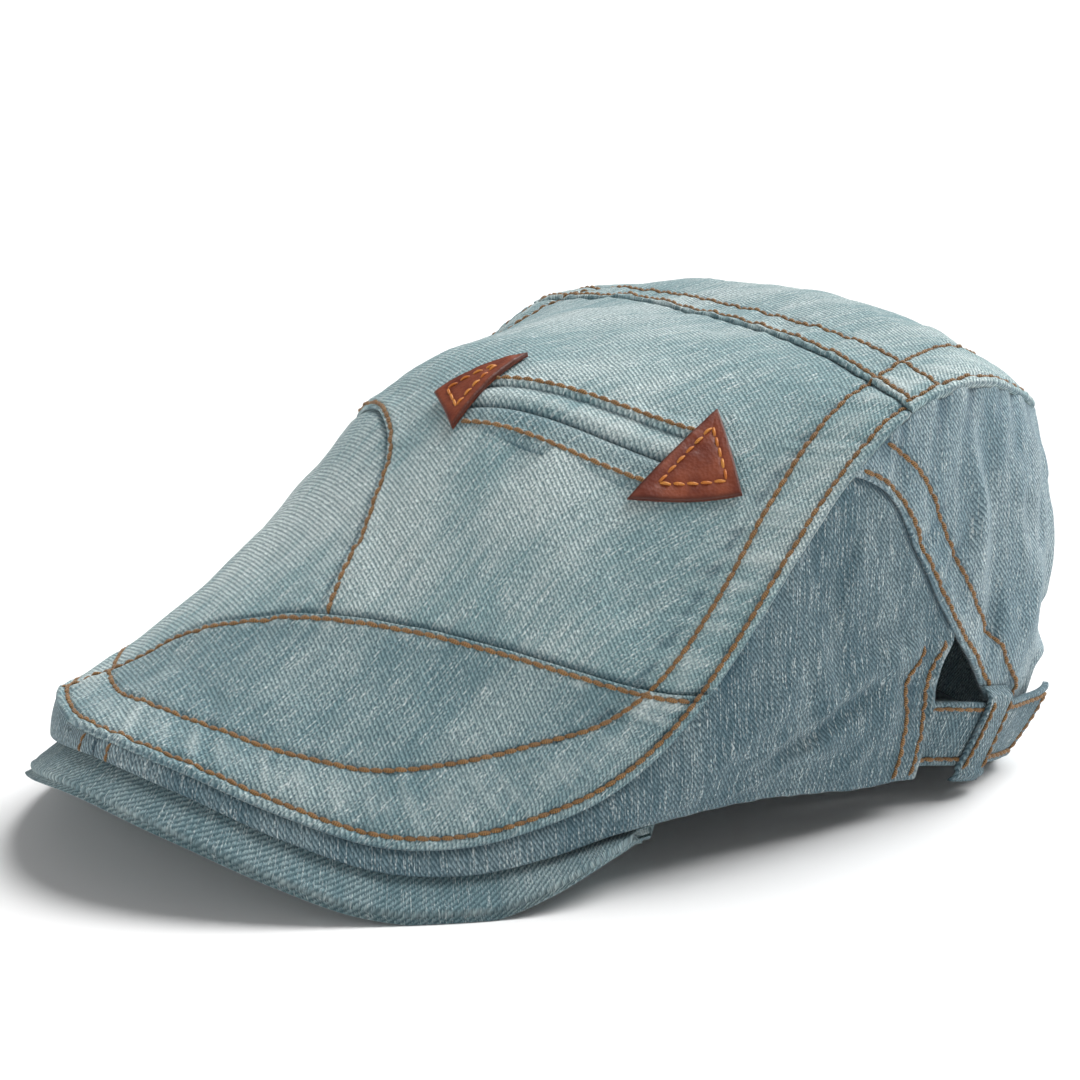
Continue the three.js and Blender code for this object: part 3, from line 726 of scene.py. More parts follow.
def front_panel():
    """Crescent between the arch seam and the nose: straight lines from the one to the other."""
    keep = np.abs(arch_plan[:, 0]) <= half_width(np.clip(arch_plan[:, 1], -FRONT, BACK))
    keep &= arch_plan[:, 1] > -FRONT
    kept = arch_plan[keep][::-1]
    angles = np.linspace(-40, 130, 3401)
    edge = seam_plan(angles)
    ends = [angles[np.linalg.norm(edge - kept[k], axis=1).argmin()] for k in (0, -1)]
    run = length_along(kept)
    u = stations(run[-1], 1.0)
    top = np.stack([np.interp(u * run[-1], run, kept[:, k]) for k in (0, 1)], -1)
    sweep = np.linspace(ends[0], ends[1], 400)
    rim_run = length_along(seam_plan(sweep))
    rim = seam_plan(np.interp(u * rim_run[-1], rim_run, sweep))
    v = stations(58, 0.9)
    x, y = (top[:, None, k] + (rim - top)[:, None, k] * v[None] for k in (0, 1))
    return crown_panel("denim_front_panel", x, y, "front")


def crown_grid(s, front, back, v):
    """Plan places between two curves over the way across, s from the right to the left."""
    y = front[:, None] + (back - front)[:, None] * v[None]
    return half_width(y) * s[:, None], y


def gusset_panel():
    """From a seam allowance under the front panel to one under the top panel."""
    s = -1 + (GUSSET_TIP + 1.02) * stations(135, 1.0, True, False)
    front = arch_y(s) - UNDERLAP
    back = gusset_y(s) + UNDERLAP
    front = np.maximum(front, -0.985 * FRONT)
    x, y = crown_grid(s, front, back, stations(100, 1.0, False, False))
    return crown_panel("denim_gusset_panel", x, y, "gusset")


def top_panel():
    """From the gusset's seam, or under the front panel, to under the rear panel."""
    s = -1 + 2 * stations(195, 0.95)
    hidden = UNDERLAP * smooth(s, GUSSET_TIP, GUSSET_TIP + 0.05)
    front = np.where(s < GUSSET_TIP, gusset_y(s), arch_y(s) - hidden)
    back = cross_y(s) + UNDERLAP
    x, y = crown_grid(s, front, back, stations(135, 0.95, True, False))
    return crown_panel("denim_top_panel", x, y, "top")


def rear_top_panel():
    """Behind the cross seam: lines of equal way across, from the seam to the back."""
    s = -1 + 2 * stations(195, 1.1)
    front = cross_y(s)
    front_x = half_width(front) * s
    corner = math.degrees(math.atan2(half_width(cross_y(1.0)), -cross_y(1.0)))
    back = seam_plan(180 - (180 - corner) * s)
    v = stations(90, 1.0)
    x = front_x[:, None] + (back[:, 0] - front_x)[:, None] * v
    y = front[:, None] + (back[:, 1] - front)[:, None] * v
    return crown_panel("denim_rear_top_panel", x, y, "rear")


def wall_frame(angle, down):
    """Place on the smooth wall and its outward normal, from small steps both ways."""
    at = wall_point(angle, down)
    low, high = wall_point(angle, down - 0.004), wall_point(angle, down + 0.004)
    n = np.cross(wall_point(angle + 0.4, down) - wall_point(angle - 0.4, down), high - low)
    n /= np.maximum(np.linalg.norm(n, axis=-1, keepdims=True), 1e-9)
    out = outward(angle)
    facing = n[..., 0] * out[..., 0] + n[..., 1] * out[..., 1] + 0.3 * n[..., 2]
    return at, n * np.where(facing < 0, -1.0, 1.0)[..., None]


# Seams of the walls as lines: both laps and the end of the left side at the opening.
down_run = np.linspace(0, 1, 120)
lap_left = wall_point(lap_angle(down_run), down_run)
lap_right = wall_point(-lap_angle(down_run), down_run)
open_down = np.linspace(0.61, 1, 60)
end_left = wall_point(lap_angle(open_down) - lap_open(open_down), open_down)


def wall_relief(points, angle, down, panel):
    """Lift of a wall panel: its lap seams, rim, gathers under the crown and soft dents."""
    d = np.clip(down, 0, 1)
    height = HEIGHT * (seam_share(from_nose(angle)) - rim_share(from_nose(angle)))
    below = d * height
    above_rim = (1 - d) * height
    around = np.radians(turned(angle)) * WALL_RADIUS
    lift = rolled(above_rim)
    tall = smooth(height, 12, 40)
    gather = 1.5 if panel == "back" else 0.7
    reach = 13.0 if panel == "back" else 7.0
    pull = np.exp(-below / reach) * tall
    lift = lift + 0.34 * gather * pull * ripple(around + 0.3 * below, (8, 11.5, 17), 71)
    lift = lift + 0.22 * np.exp(-above_rim / 6) * tall * ripple(around, (9, 14, 21), 72)
    for sign, line in ((1, lap_left), (-1, lap_right)):
        beyond = sign * turned(angle) - lap_angle(d)
        away, run = to_line(points, line)
        if panel == "back":
            near = np.where(sign * turned(angle) > 0, 1.0, 0.0)
            lift = lift + near * seam_relief(away, run, "over", LAP_ROWS, 73)
        else:
            hidden = np.where(beyond > 0, -1.0, 1.0)
            closed = 1 - smooth(d, 0.56, 0.62) if panel == "left" else 1.0
            lift = lift + closed * seam_relief(away * hidden, run, "under", (), 74)
    if panel == "left":
        away, run = to_line(points, end_left)
        near = smooth(d, 0.54, 0.64)
        lift = lift + near * seam_relief(away, run, "over", END_ROWS, 75)
    if panel in ("left", "right"):
        middle = np.abs(turned(angle) - NOSE_LEAN) * np.radians(1) * FRONT
        lift = lift + rolled(middle) + groove(middle, 0, 0.2, 1.5)
    folds = np.zeros_like(d)
    for *ends, rise, spread in SIDE_FOLDS:
        t, away = beside_fold(angle, down, ends, FOLD_PER_DEGREE, FOLD_HIGH)
        folds = folds + rise * np.sin(np.pi * t) * np.exp(-(away / spread) ** 2)
    calm = smooth(below, 2, 14) * smooth(above_rim, 0, 10) * tall
    soft = (1.0 if panel == "back" else 0.8) * calm
    soft = soft * (0.6 * crumple(points, 30, 81) + 0.14 * crumple(points, 10, 82))
    soft = soft + 1.25 * folds
    # Pale wear on the raised cloth, and painted shade in its hollows.
    return lift + soft, wear_and_shade_of(lift + 0.12 * folds, soft)


def wall_panel(name, start, end, length, panel):
    """A wall panel between two end lines given as angles by share down, closed one layer in."""
    rows = stations(88, 0.95, False)
    down = np.concatenate([np.linspace(-1, -0.2, 4), rows])
    across = stations(length, 0.95)
    d = np.clip(down, 0, 1)
    angle = start(d)[None] + (end(d) - start(d))[None] * across[:, None]
    down = np.broadcast_to(down, angle.shape)
    at, normal = wall_frame(angle, down)
    lift, wear_and_shade = wall_relief(at, angle, down, panel)
    sweep = np.linspace(-200, 360, 561)
    run = np.interp(angle, sweep, length_along(seam_plan(sweep)))
    cloth = np.stack([run, at[..., 2]], -1)
    outer = at + normal * lift[..., None]
    inner = at + normal * (lift - WALL_LAYER)[..., None]
    for face in (outer, inner):
        face[..., 2] = np.maximum(face[..., 2], 0)
    return slab(name, outer, inner, cloth, wear_and_shade)


def walls():
    """The left side, up to its end at the opening; the right side, to under the back; the back.
    The sides meet at the nose with a hair's breadth between them."""
    hidden = math.degrees(UNDERLAP / 100)
    seam_gap = math.degrees(0.1 / FRONT)

    def left_end(down):
        return lap_angle(down) - np.maximum(0, lap_open(down)) + hidden * (1 - smooth(down, 0.5, 0.6))

    left = wall_panel("denim_side_left", lambda d: NOSE_LEAN + seam_gap + 0 * d, left_end, 205, "left")
    right = wall_panel("denim_side_right", lambda d: -lap_angle(d) - hidden,
                       lambda d: NOSE_LEAN - seam_gap + 0 * d, 225, "right")
    back = wall_panel("denim_back", lap_angle, lambda d: 360 - lap_angle(d), 250, "back")
    return left, right, back


def brim_point(share, across, side):
    """Brim as three rails, head opening, under the band and outer edge, joined straight with
    a slight arch before the band. side 0 is the top, 1 the underside."""
    a = BRIM_CORNER * np.abs(share)
    angle = BRIM_CORNER * share + lean(a)
    plan, out = seam_plan(angle), outward(angle)
    turn = np.radians(65 * share)
    head = np.stack([
        HEAD_HALF_WIDTH * np.sin(turn), HEAD_MIDDLE_Y - HEAD_FRONT * np.cos(turn),
        HEIGHT * head_share(np.abs(share)),
    ], -1)
    under = (-HALF_WIDTH * tuck_share(a) - 2.0)[..., None]
    rest = HEIGHT * rim_share(a) - 2.5 * GAP
    band = np.concatenate([plan + out * under, rest[..., None]], -1)
    reach = (HALF_WIDTH * reach_share(a))[..., None]
    edge = np.maximum(0, HEIGHT * edge_share(a))
    tip = np.concatenate([plan + out * reach, (edge + BRIM_THICK)[..., None]], -1)
    k = np.clip(across * 2, 0, 1)[..., None]
    outer = np.clip(across * 2 - 1, 0, 1)[..., None]
    point = head + (band - head) * k
    point[..., 2] += BRIM_ARCH * np.sin(np.pi * k[..., 0]) * (1 - share * share)
    point = np.where((across > 0.5)[..., None], band + (tip - band) * outer, point)
    if side:
        point[..., 2] -= BRIM_THICK + EDGE_THICKER * outer[..., 0]
    return point


def length_across(points):
    """Length along each row of a grid of points, from its start."""
    step = np.linalg.norm(np.diff(points, axis=1), axis=-1)
    return np.concatenate([np.zeros((len(points), 1)), np.cumsum(step, axis=1)], axis=1)


def brim():
    """Both faces of the brim, rounded off at its outer edge, with a dip 3 mm inside the edge and
    the wear on it."""
    share = -1 + 2 * stations(250, 1.0)
    across = np.concatenate([np.linspace(0, 0.5, 30)[:-1], 0.5 + 0.5 * stations(12, 0.6, False)])
    s, v = np.meshgrid(share, across, indexing="ij")
    top, low = brim_point(s, v, 0), brim_point(s, v, 1)
    normal = grid_normals(top)
    normal *= np.where(normal[..., 2:] < 0, -1.0, 1.0)
    to_edge = np.where(v > 0.5, (1 - v) * 2 * BRIM_WIDTH, BRIM_WIDTH)
    turn = np.clip(1 - to_edge / 1.7, 0, 0.999)
    round_off = (BRIM_THICK / 2 + 0.4) * (1 - np.sqrt(1 - turn ** 2))
    run = s * BRIM_LENGTH
    dents = 0.12 * ripple(run, (14, 23, 37), 91) * smooth(to_edge, 0.5, 4)
    lift = dents - round_off + groove(to_edge, 3.0, 0.18, 0.9)
    outer = top + normal * lift[..., None]
    inner = low + normal * (0.9 * round_off)[..., None]
    outer[..., 2] = np.maximum(outer[..., 2], 0.05)
    inner[..., 2] = np.maximum(inner[..., 2], 0)
    cloth = np.stack([run, length_across(top)], -1)
    worn = smooth(-to_edge, -2.0, -0.1) * (0.35 + 0.12 * ripple(run, (11, 31, 57), 92))
    return slab("denim_brim", outer, inner, cloth, worn + 2 * groove(to_edge, 3.0, 0.15, 0.9))


def smooth_rows(coarse, values, fine):
    """Each row's values carried over to finer stations by the same even cubic as column."""
    return np.stack([column(np.stack([coarse, row], -1), 1, False)(fine) for row in values])


def welt(name, section, edge_at):
    """A pocket lip: its section set between the slit and the lip's own edge, carried along
    them, gathered a little by its stitching."""
    along = np.linspace(-1, POCKET_LENGTH + 1, 90)
    share, beyond, height = section.T
    across = slit_at(along)[:, None] * (1 - share) + edge_at(along)[:, None] * share + beyond
    lift = np.broadcast_to(height, across.shape).copy()
    seam = 0.16 * ripple(along, (5.5, 8, 12), 95)
    lift[:, 1:-1] += seam[:, None] * np.linspace(0.2, 1, len(section) - 2)
    fine = np.linspace(0, 1, 6 * (len(section) - 1) + 1)
    coarse = np.linspace(0, 1, len(section))
    across = smooth_rows(coarse, across, fine)
    lift = smooth_rows(coarse, lift, fine)
    x, y = pocket_place(along[:, None] + 0 * across, across)
    outer = crown_point(x, y, lift)
    inner = crown_point(x, y, np.full(lift.shape, -DEEP))
    # Pale wear on the raised lip, and painted shade where it dives into the slit.
    return slab(name, outer, inner, cloth_across(x, y), np.clip((lift - 0.35) / 0.9, -1, 0.55))


def tab_plan(shares):
    """A leather triangle's corners in plan."""
    return np.stack(pocket_place(*(shares * POCKET_LENGTH).T), -1)


def edge_distance(plan, a, b):
    """Distance in plan from places to the straight line through two corners."""
    along = (b - a) / np.linalg.norm(b - a)
    return np.abs((plan[..., 0] - a[0]) * along[1] - (plan[..., 1] - a[1]) * along[0])


def leather_tab(name, corners, seed):
    """A leather triangle: straight lines from one corner to the far side, laid on the crown,
    sunk along its stitching and rounded at its cut edge."""
    r, q = np.meshgrid(stations(26, 0.4), stations(26, 0.4), indexing="ij")
    spread = corners[1] + (corners[2] - corners[1]) * q[..., None]
    x, y = np.moveaxis(corners[0] + (spread - corners[0]) * np.maximum(r, 0.02)[..., None], -1, 0)
    plan = np.stack([x, y], -1)
    d = np.min([edge_distance(plan, corners[k], corners[(k + 1) % 3]) for k in range(3)], axis=0)
    lift = TAB_LIFT + 0.5 * (np.sqrt(1 - np.clip(1 - d / 0.5, 0, 0.98) ** 2) - 1)
    lift = lift + groove(d, TAB_INSET, 0.22, 0.7) + 0.1 * crumple(crown_point(x, y), 9, seed)
    outer = crown_point(x, y, lift)
    inner = crown_point(x, y, np.full(d.shape, TAB_LIFT - LEATHER))
    return slab(name, outer, inner, cloth_across(x, y), np.clip(1 - d / 1.1, 0, 1))


def strap_point(angle, up, depth):
    """Strap: inside the side panel's end, out through the gap, then flaring off the back."""
    k = (angle - STRAP_START) / (STRAP_END - STRAP_START)
    height = HEIGHT * (STRAP_LOW - STRAP_DROP * smooth(k, 0.15, 1)) + STRAP_HEIGHT * up
    seam = HEIGHT * seam_share(from_nose(angle))
    rim = HEIGHT * rim_share(from_nose(angle))
    down = np.clip((seam - height) / (seam - rim), 0, 1)
    inside = -2 - 2 * GAP - STRAP_THICK
    lift = inside + (GAP + STRAP_EASE - inside) * smooth(angle, *STRAP_OUT)
    lift = lift + STRAP_FLARE * smooth(angle, STRAP_FLARE_FROM, STRAP_END)
    point = wall_point(angle, down, DEEP)
    out = outward(angle) * (lift + depth)[..., None]
    return np.concatenate([point[..., :2] + out, (height + 0 * lift)[..., None]], -1)


def strap():
    """The strap with its rolled, stitched and puckered edges, cut aslant at its free end."""
    u, v = np.meshgrid(stations(STRAP_LENGTH, 0.7), stations(STRAP_HEIGHT, 0.6), indexing="ij")
    angle = STRAP_START + (STRAP_END - STRAP_CUT * (1 - v) - STRAP_START) * u
    to_side = np.minimum(v, 1 - v) * STRAP_HEIGHT
    run = u * STRAP_LENGTH
    lift = 0.5 * rolled(np.minimum(to_side, (1 - u) * STRAP_LENGTH))
    lift = lift + groove(to_side, 2.2, 0.35, 0.7) + 0.25 * np.exp(-((to_side - 1.1) / 0.6) ** 2)
    pull = np.exp(-np.abs(to_side - 2.2) / 2.5)
    lift = lift + 0.2 * pull * ripple(run + 0.4 * to_side, (4.7, 6.8, 9.5), 97)
    outer = strap_point(angle, v, STRAP_THICK + lift)
    inner = strap_point(angle, v, np.zeros_like(lift))
    cloth = np.stack([run, v * STRAP_HEIGHT], -1)
    # Pale wear on the raised cloth, and painted shade in its stitch groove and rolled edges.
    return slab("denim_strap", outer, inner, cloth, wear_and_shade_of(lift + 0.2, 0.0))


def loop_point(u, up, depth):
    """Keeper band slanting over the strap, its ends bent in above and below it."""
    level = np.clip(up, 0, 1)
    angle = LOOP_ANGLE + LOOP_SLANT * level
    angle = angle + (u - 0.5) * np.degrees(LOOP_WIDTH / np.linalg.norm(seam_plan(angle), axis=-1))
    to_end = np.minimum(up - LOOP_ENDS[0], LOOP_ENDS[1] - up)
    over = GAP + (STRAP_THICK + 0.2) * smooth(to_end, 0, 0.14)
    point = strap_point(angle, level, over + depth)
    point[..., 2] += STRAP_HEIGHT * (up - level)
    return point


def strap_loop():
    """The keeper band round the strap, its sides rolled and dipped beside them."""
    u, v = np.meshgrid(stations(LOOP_WIDTH, 0.4), stations(LOOP_LENGTH, 0.5), indexing="ij")
    up = LOOP_ENDS[0] + (LOOP_ENDS[1] - LOOP_ENDS[0]) * v
    side = np.minimum(u, 1 - u) * LOOP_WIDTH
    lift = 0.6 * rolled(side) + groove(side, 1.3, 0.2, 0.4)
    outer = loop_point(u, up, LOOP_THICK + lift)
    inner = loop_point(u, up, np.zeros_like(lift))
    cloth = np.stack([u * LOOP_WIDTH, v * LOOP_LENGTH], -1)
    # Pale wear on the raised cloth, and painted shade in its groove and rolled sides.
    return slab("denim_strap_loop", outer, inner, cloth, wear_and_shade_of(lift + 0.2, 0.0))


def stitch_row(points, normals, pitch=STITCH_PITCH, length=STITCH_LENGTH, radius=THREAD_RADIUS):
    """One row: each stitch is a round thread of seven sections of six points, thin where it
    dives into the cloth, arched between, laid a little aslant the row."""
    run = length_along(points)
    count = max(1, int(round((run[-1] - length) / pitch)) + 1)
    starts = np.linspace(0, max(run[-1] - length, 0), count)
    q = np.linspace(0, 1, 7)
    t = starts[:, None] + q * length
    at = np.stack([np.interp(t, run, points[:, k]) for k in range(3)], -1)
    up = np.stack([np.interp(t, run, normals[:, k]) for k in range(3)], -1)
    up /= np.linalg.norm(up, axis=-1, keepdims=True)
    along = np.gradient(at, axis=1)
    along /= np.maximum(np.linalg.norm(along, axis=-1, keepdims=True), 1e-9)
    side = np.cross(along, up)
    size = radius * np.array([0.55, 0.85, 1, 1, 1, 0.85, 0.55])
    rise = radius * (np.sin(np.pi * q) * 0.75 - 0.2)
    at = at + up * rise[:, None] + side * ((q - 0.5) * 0.1 * length)[:, None]
    turn = np.linspace(0, 2 * np.pi, 7)[:-1]
    ring = np.cos(turn)[:, None] * up[:, :, None] * 0.8 + np.sin(turn)[:, None] * side[:, :, None]
    return at[:, :, None] + ring * size[:, None, None]


def stitches(name, rows, seed):
    """Rows of stitches as one mesh, with the thread's own length and turn as its cloth map
    and a shade for each stitch."""
    threads = np.concatenate(rows)
    count = len(threads)
    k, m = np.meshgrid(np.arange(6), np.arange(6), indexing="ij")
    a, b = (k * 6 + m).ravel(), (k * 6 + (m + 1) % 6).ravel()
    tube = np.stack([a, b, b + 6, a + 6], -1)
    caps = np.array([(0, 1, 2, 3), (0, 3, 4, 5), (39, 38, 37, 36), (41, 40, 39, 36)])
    one = np.concatenate([tube[:, ::-1], caps])
    faces = (one[None] + np.arange(count)[:, None, None] * 42).reshape(-1, 4)
    u, w = np.meshgrid(np.linspace(0, STITCH_LENGTH, 7), np.arange(6) / 6, indexing="ij")
    cloth = np.tile(np.stack([u, w], -1).reshape(-1, 2), (count, 1))
    shade = np.repeat(np.random.default_rng(seed).uniform(-1, 1, count), 42)
    return make_mesh(name, threads.reshape(-1, 3), faces, cloth, shade)


def panel_lift(x, y):
    """Relief at places on the crown, each read from the panel that shows there."""
    s = share_across(x, y)
    kind = np.where(y < arch_y(s), "front", np.where(y > cross_y(s), "rear", "top"))
    kind = np.where((kind == "top") & (y < gusset_y(s)) & (s < GUSSET_TIP), "gusset", kind)
    lift = np.zeros_like(x)
    for panel in ("front", "gusset", "top", "rear"):
        here = kind == panel
        if here.any():
            lift[here] = crown_relief(x[here], y[here], panel)[0]
    return lift


def crown_row(line):
    """A plan line laid on the crown's relief, and the normals along it."""
    x, y = line.T
    return crown_point(x, y, panel_lift(x, y)), crown_normal(x, y)


def beside(line, distance):
    """Plan places at a distance from a plan line, measured over the crown: lengths along
    short probes square to the line are summed until they reach it."""
    along = np.gradient(line, axis=0)
    along /= np.linalg.norm(along, axis=1, keepdims=True)
    aside = np.stack([-along[:, 1], along[:, 0]], -1) * np.sign(np.mean(distance))
    probe = np.linspace(0, 34, 69)
    places = line[:, None] + aside[:, None] * probe[None, :, None]
    heights = crown_height(places[..., 0], places[..., 1])
    lengths = np.cumsum(np.hypot(np.diff(probe)[None], np.diff(heights, axis=1)), axis=1)
    wanted = np.broadcast_to(np.abs(distance), (len(line),))
    reach = np.minimum((lengths < wanted[:, None]).sum(1), 66)
    before = np.where(reach > 0, lengths[np.arange(len(line)), reach - 1], 0)
    step = lengths[np.arange(len(line)), reach] - before
    far = probe[reach] + (wanted - before) / step * (probe[1] - probe[0])
    return line + aside * far[:, None]


def on_crown(line):
    """The stretch of a plan line that lies on the crown, clear of its edge."""
    keep = np.abs(line[:, 0]) < half_width(np.clip(line[:, 1], -FRONT, BACK)) - 1.4
    keep &= (line[:, 1] > -FRONT + 0.5) & (line[:, 1] < BACK - 0.5)
    return line[keep]


def crown_stitches():
    """Both rows of the band, those beside the seams across the crown, and the pocket's two."""
    angles = np.linspace(-180, 180, 721)
    edge = seam_plan(angles)
    gusset = beside(gusset_plan, -ARCH_ROW)
    gusset = gusset[gusset[:, 1] > arch_y(share_across(gusset[:, 0], gusset[:, 1])) + 0.5]
    lines = [
        beside(edge, np.full(len(edge), TOPSTITCH)), beside(edge, band_inset(from_nose(angles))),
        on_crown(beside(arch_plan, -ARCH_ROW)), on_crown(gusset),
    ]
    lines += [on_crown(beside(cross_plan, distance)) for distance in CROSS_ROWS]
    rows = [stitch_row(*crown_row(line)) for line in lines]
    along = np.linspace(1, POCKET_LENGTH - 1, 60)
    for across, lift in ((pocket_high(along) + 1.3, 0.75), (pocket_low(along) - 0.9, 0.55)):
        x, y = pocket_place(along, across)
        rows.append(stitch_row(crown_point(x, y, np.full(len(x), lift)), crown_normal(x, y)))
    return stitches("stitches_crown", rows, 101)


def wall_row(angle, down, panel):
    """A line on a wall's relief, and the normals along it."""
    at, normal = wall_frame(angle, down)
    return at + normal * wall_relief(at, angle, down, panel)[0][..., None], normal


def wall_stitches():
    """Two rows behind each lap, two at the opening, and one on each side of the nose's seam."""
    rows = []
    down = np.linspace(0.02, 0.985, 160)
    for sign in (1, -1):
        for back in LAP_ROWS:
            angle = sign * (lap_angle(down) + lap_turn(down, back))
            rows.append(stitch_row(*wall_row(angle, down, "back")))
    ends = np.linspace(0.62, 0.985, 80)
    for inside in END_ROWS:
        angle = lap_angle(ends) - lap_open(ends) - lap_turn(ends, inside)
        rows.append(stitch_row(*wall_row(angle, ends, "left")))
    front = np.linspace(0.02, 0.98, 12)
    for off, panel in ((-2.0, "right"), (2.0, "left")):
        row = wall_row(np.full(12, NOSE_LEAN + off), front, panel)
        rows.append(stitch_row(*row, *NOSE_STITCH))
    return stitches("stitches_walls", rows, 102)


def lap_turn(down, distance):
    """Degrees round the cap that carry a line a distance in mm square away from the lap."""
    line = wall_point(lap_angle(down), down)
    along = np.gradient(line, axis=0)
    along /= np.linalg.norm(along, axis=1, keepdims=True)
    level = wall_point(lap_angle(down) + 1, down) - line
    size = np.linalg.norm(level, axis=1)
    lean_share = np.abs((along * level).sum(1)) / size
    return distance / (size * np.sqrt(np.maximum(1 - lean_share ** 2, 0.1)))


def strap_stitches():
    """Rows along the strap's sides and its free end, and along the sides of the loop."""
    tail = np.linspace(0.12, 0.88, 20)
    rows, routes = [], []
    for up in (STRAP_ROW / STRAP_HEIGHT, 1 - STRAP_ROW / STRAP_HEIGHT):
        last = STRAP_END - STRAP_CUT * (1 - up) - 0.9
        routes.append((np.linspace(STRAP_START + 6, last, 80), np.full(80, up)))
    routes.append((STRAP_END - STRAP_CUT * (1 - tail) - 1.2, tail))
    for turn, up in routes:
        points = strap_point(turn, up, np.full(len(turn), STRAP_THICK - 0.1))
        out = outward(turn)
        rows.append(stitch_row(points, np.concatenate([out, 0 * out[:, :1]], -1)))
    up = np.linspace(-0.02, 1.02, 40)
    for u in (0.14, 0.86):
        points = loop_point(np.full(40, u), up, np.full(40, LOOP_THICK - 0.1))
        out = outward(LOOP_ANGLE + LOOP_SLANT * np.clip(up, 0, 1))
        rows.append(stitch_row(points, np.concatenate([out, 0 * out[:, :1]], -1)))
    return stitches("stitches_strap", rows, 103)


def tab_stitches():
    """Dashes inside each edge of the leather: the triangle drawn in to a smaller one."""
    rows = []
    for corners in (tab_plan(TAB_LEFT), tab_plan(TAB_RIGHT)):
        sides = np.linalg.norm(np.roll(corners, -1, 0) - corners, axis=1)
        opposite = np.roll(sides, -1)
        centre = (corners * opposite[:, None]).sum(0) / opposite.sum()
        inner = edge_distance(centre[None], corners[0], corners[1])[0]
        small = centre + (corners - centre) * (1 - TAB_INSET / inner)
        for k in range(3):
            t = np.linspace(0.02, 0.98, 30)[:, None]
            line = small[k] + (small[(k + 1) % 3] - small[k]) * t
            points = crown_point(line[:, 0], line[:, 1], np.full(30, TAB_LIFT - 0.15))
            rows.append(stitch_row(points, crown_normal(line[:, 0], line[:, 1]), *TAB_STITCH))
    return stitches("stitches_tabs", rows, 104)


# Settings that many of the nodes share.
EASED = {"interpolation_type": "SMOOTHSTEP"}
TINT = {"data_type": "RGBA"}
FLAT = {"noise_dimensions": "2D"}
SUM = {"operation": "MULTIPLY_ADD"}
PRODUCT = {"operation": "MULTIPLY"}
SINE = {"operation": "SINE"}
CLOTH = {"uv_map": "cloth"}
WEAR_AND_SHADE = {"attribute_name": "wear_and_shade"}


def linear(colour):
    """An sRGB hex colour as Blender's linear red, green, blue and alpha."""
    parts = [int(colour[k:k + 2], 16) / 255 for k in (1, 3, 5)]
    return [c / 12.92 if c <= 0.04045 else ((c + 0.055) / 1.055) ** 2.4 for c in parts] + [1.0]


def add(tree, kind, settings, inputs, output=0):
    """A node with its settings, its sockets set to values or linked to other sockets. Gives
    one of its outputs."""
    node = tree.nodes.new("ShaderNode" + kind)
    for key, value in settings.items():
        setattr(node, key, value)
    for key, value in inputs.items():
        if isinstance(value, bpy.types.NodeSocket):
            tree.links.new(value, node.inputs[key])
        else:
            node.inputs[key].default_value = value
    return node.outputs[output] if node.outputs else None


def tinted(tree, colour, tints):
    """A colour with tints laid over it in turn, each the more the further its pattern has gone
    from low to high."""
    for pattern, low, high, most, tint in tints:
        amount = add(tree, "MapRange", EASED, {0: pattern, 1: low, 2: high, 3: 0.0, 4: most})
        colour = add(tree, "Mix", TINT, {0: amount, 6: colour, 7: linear(tint)}, 2)
    return colour


def fresh(name):
    """A new material and its empty node tree."""
    material = bpy.data.materials.new(name)
    material.use_nodes = True
    material.node_tree.nodes.clear()
    return material, material.node_tree


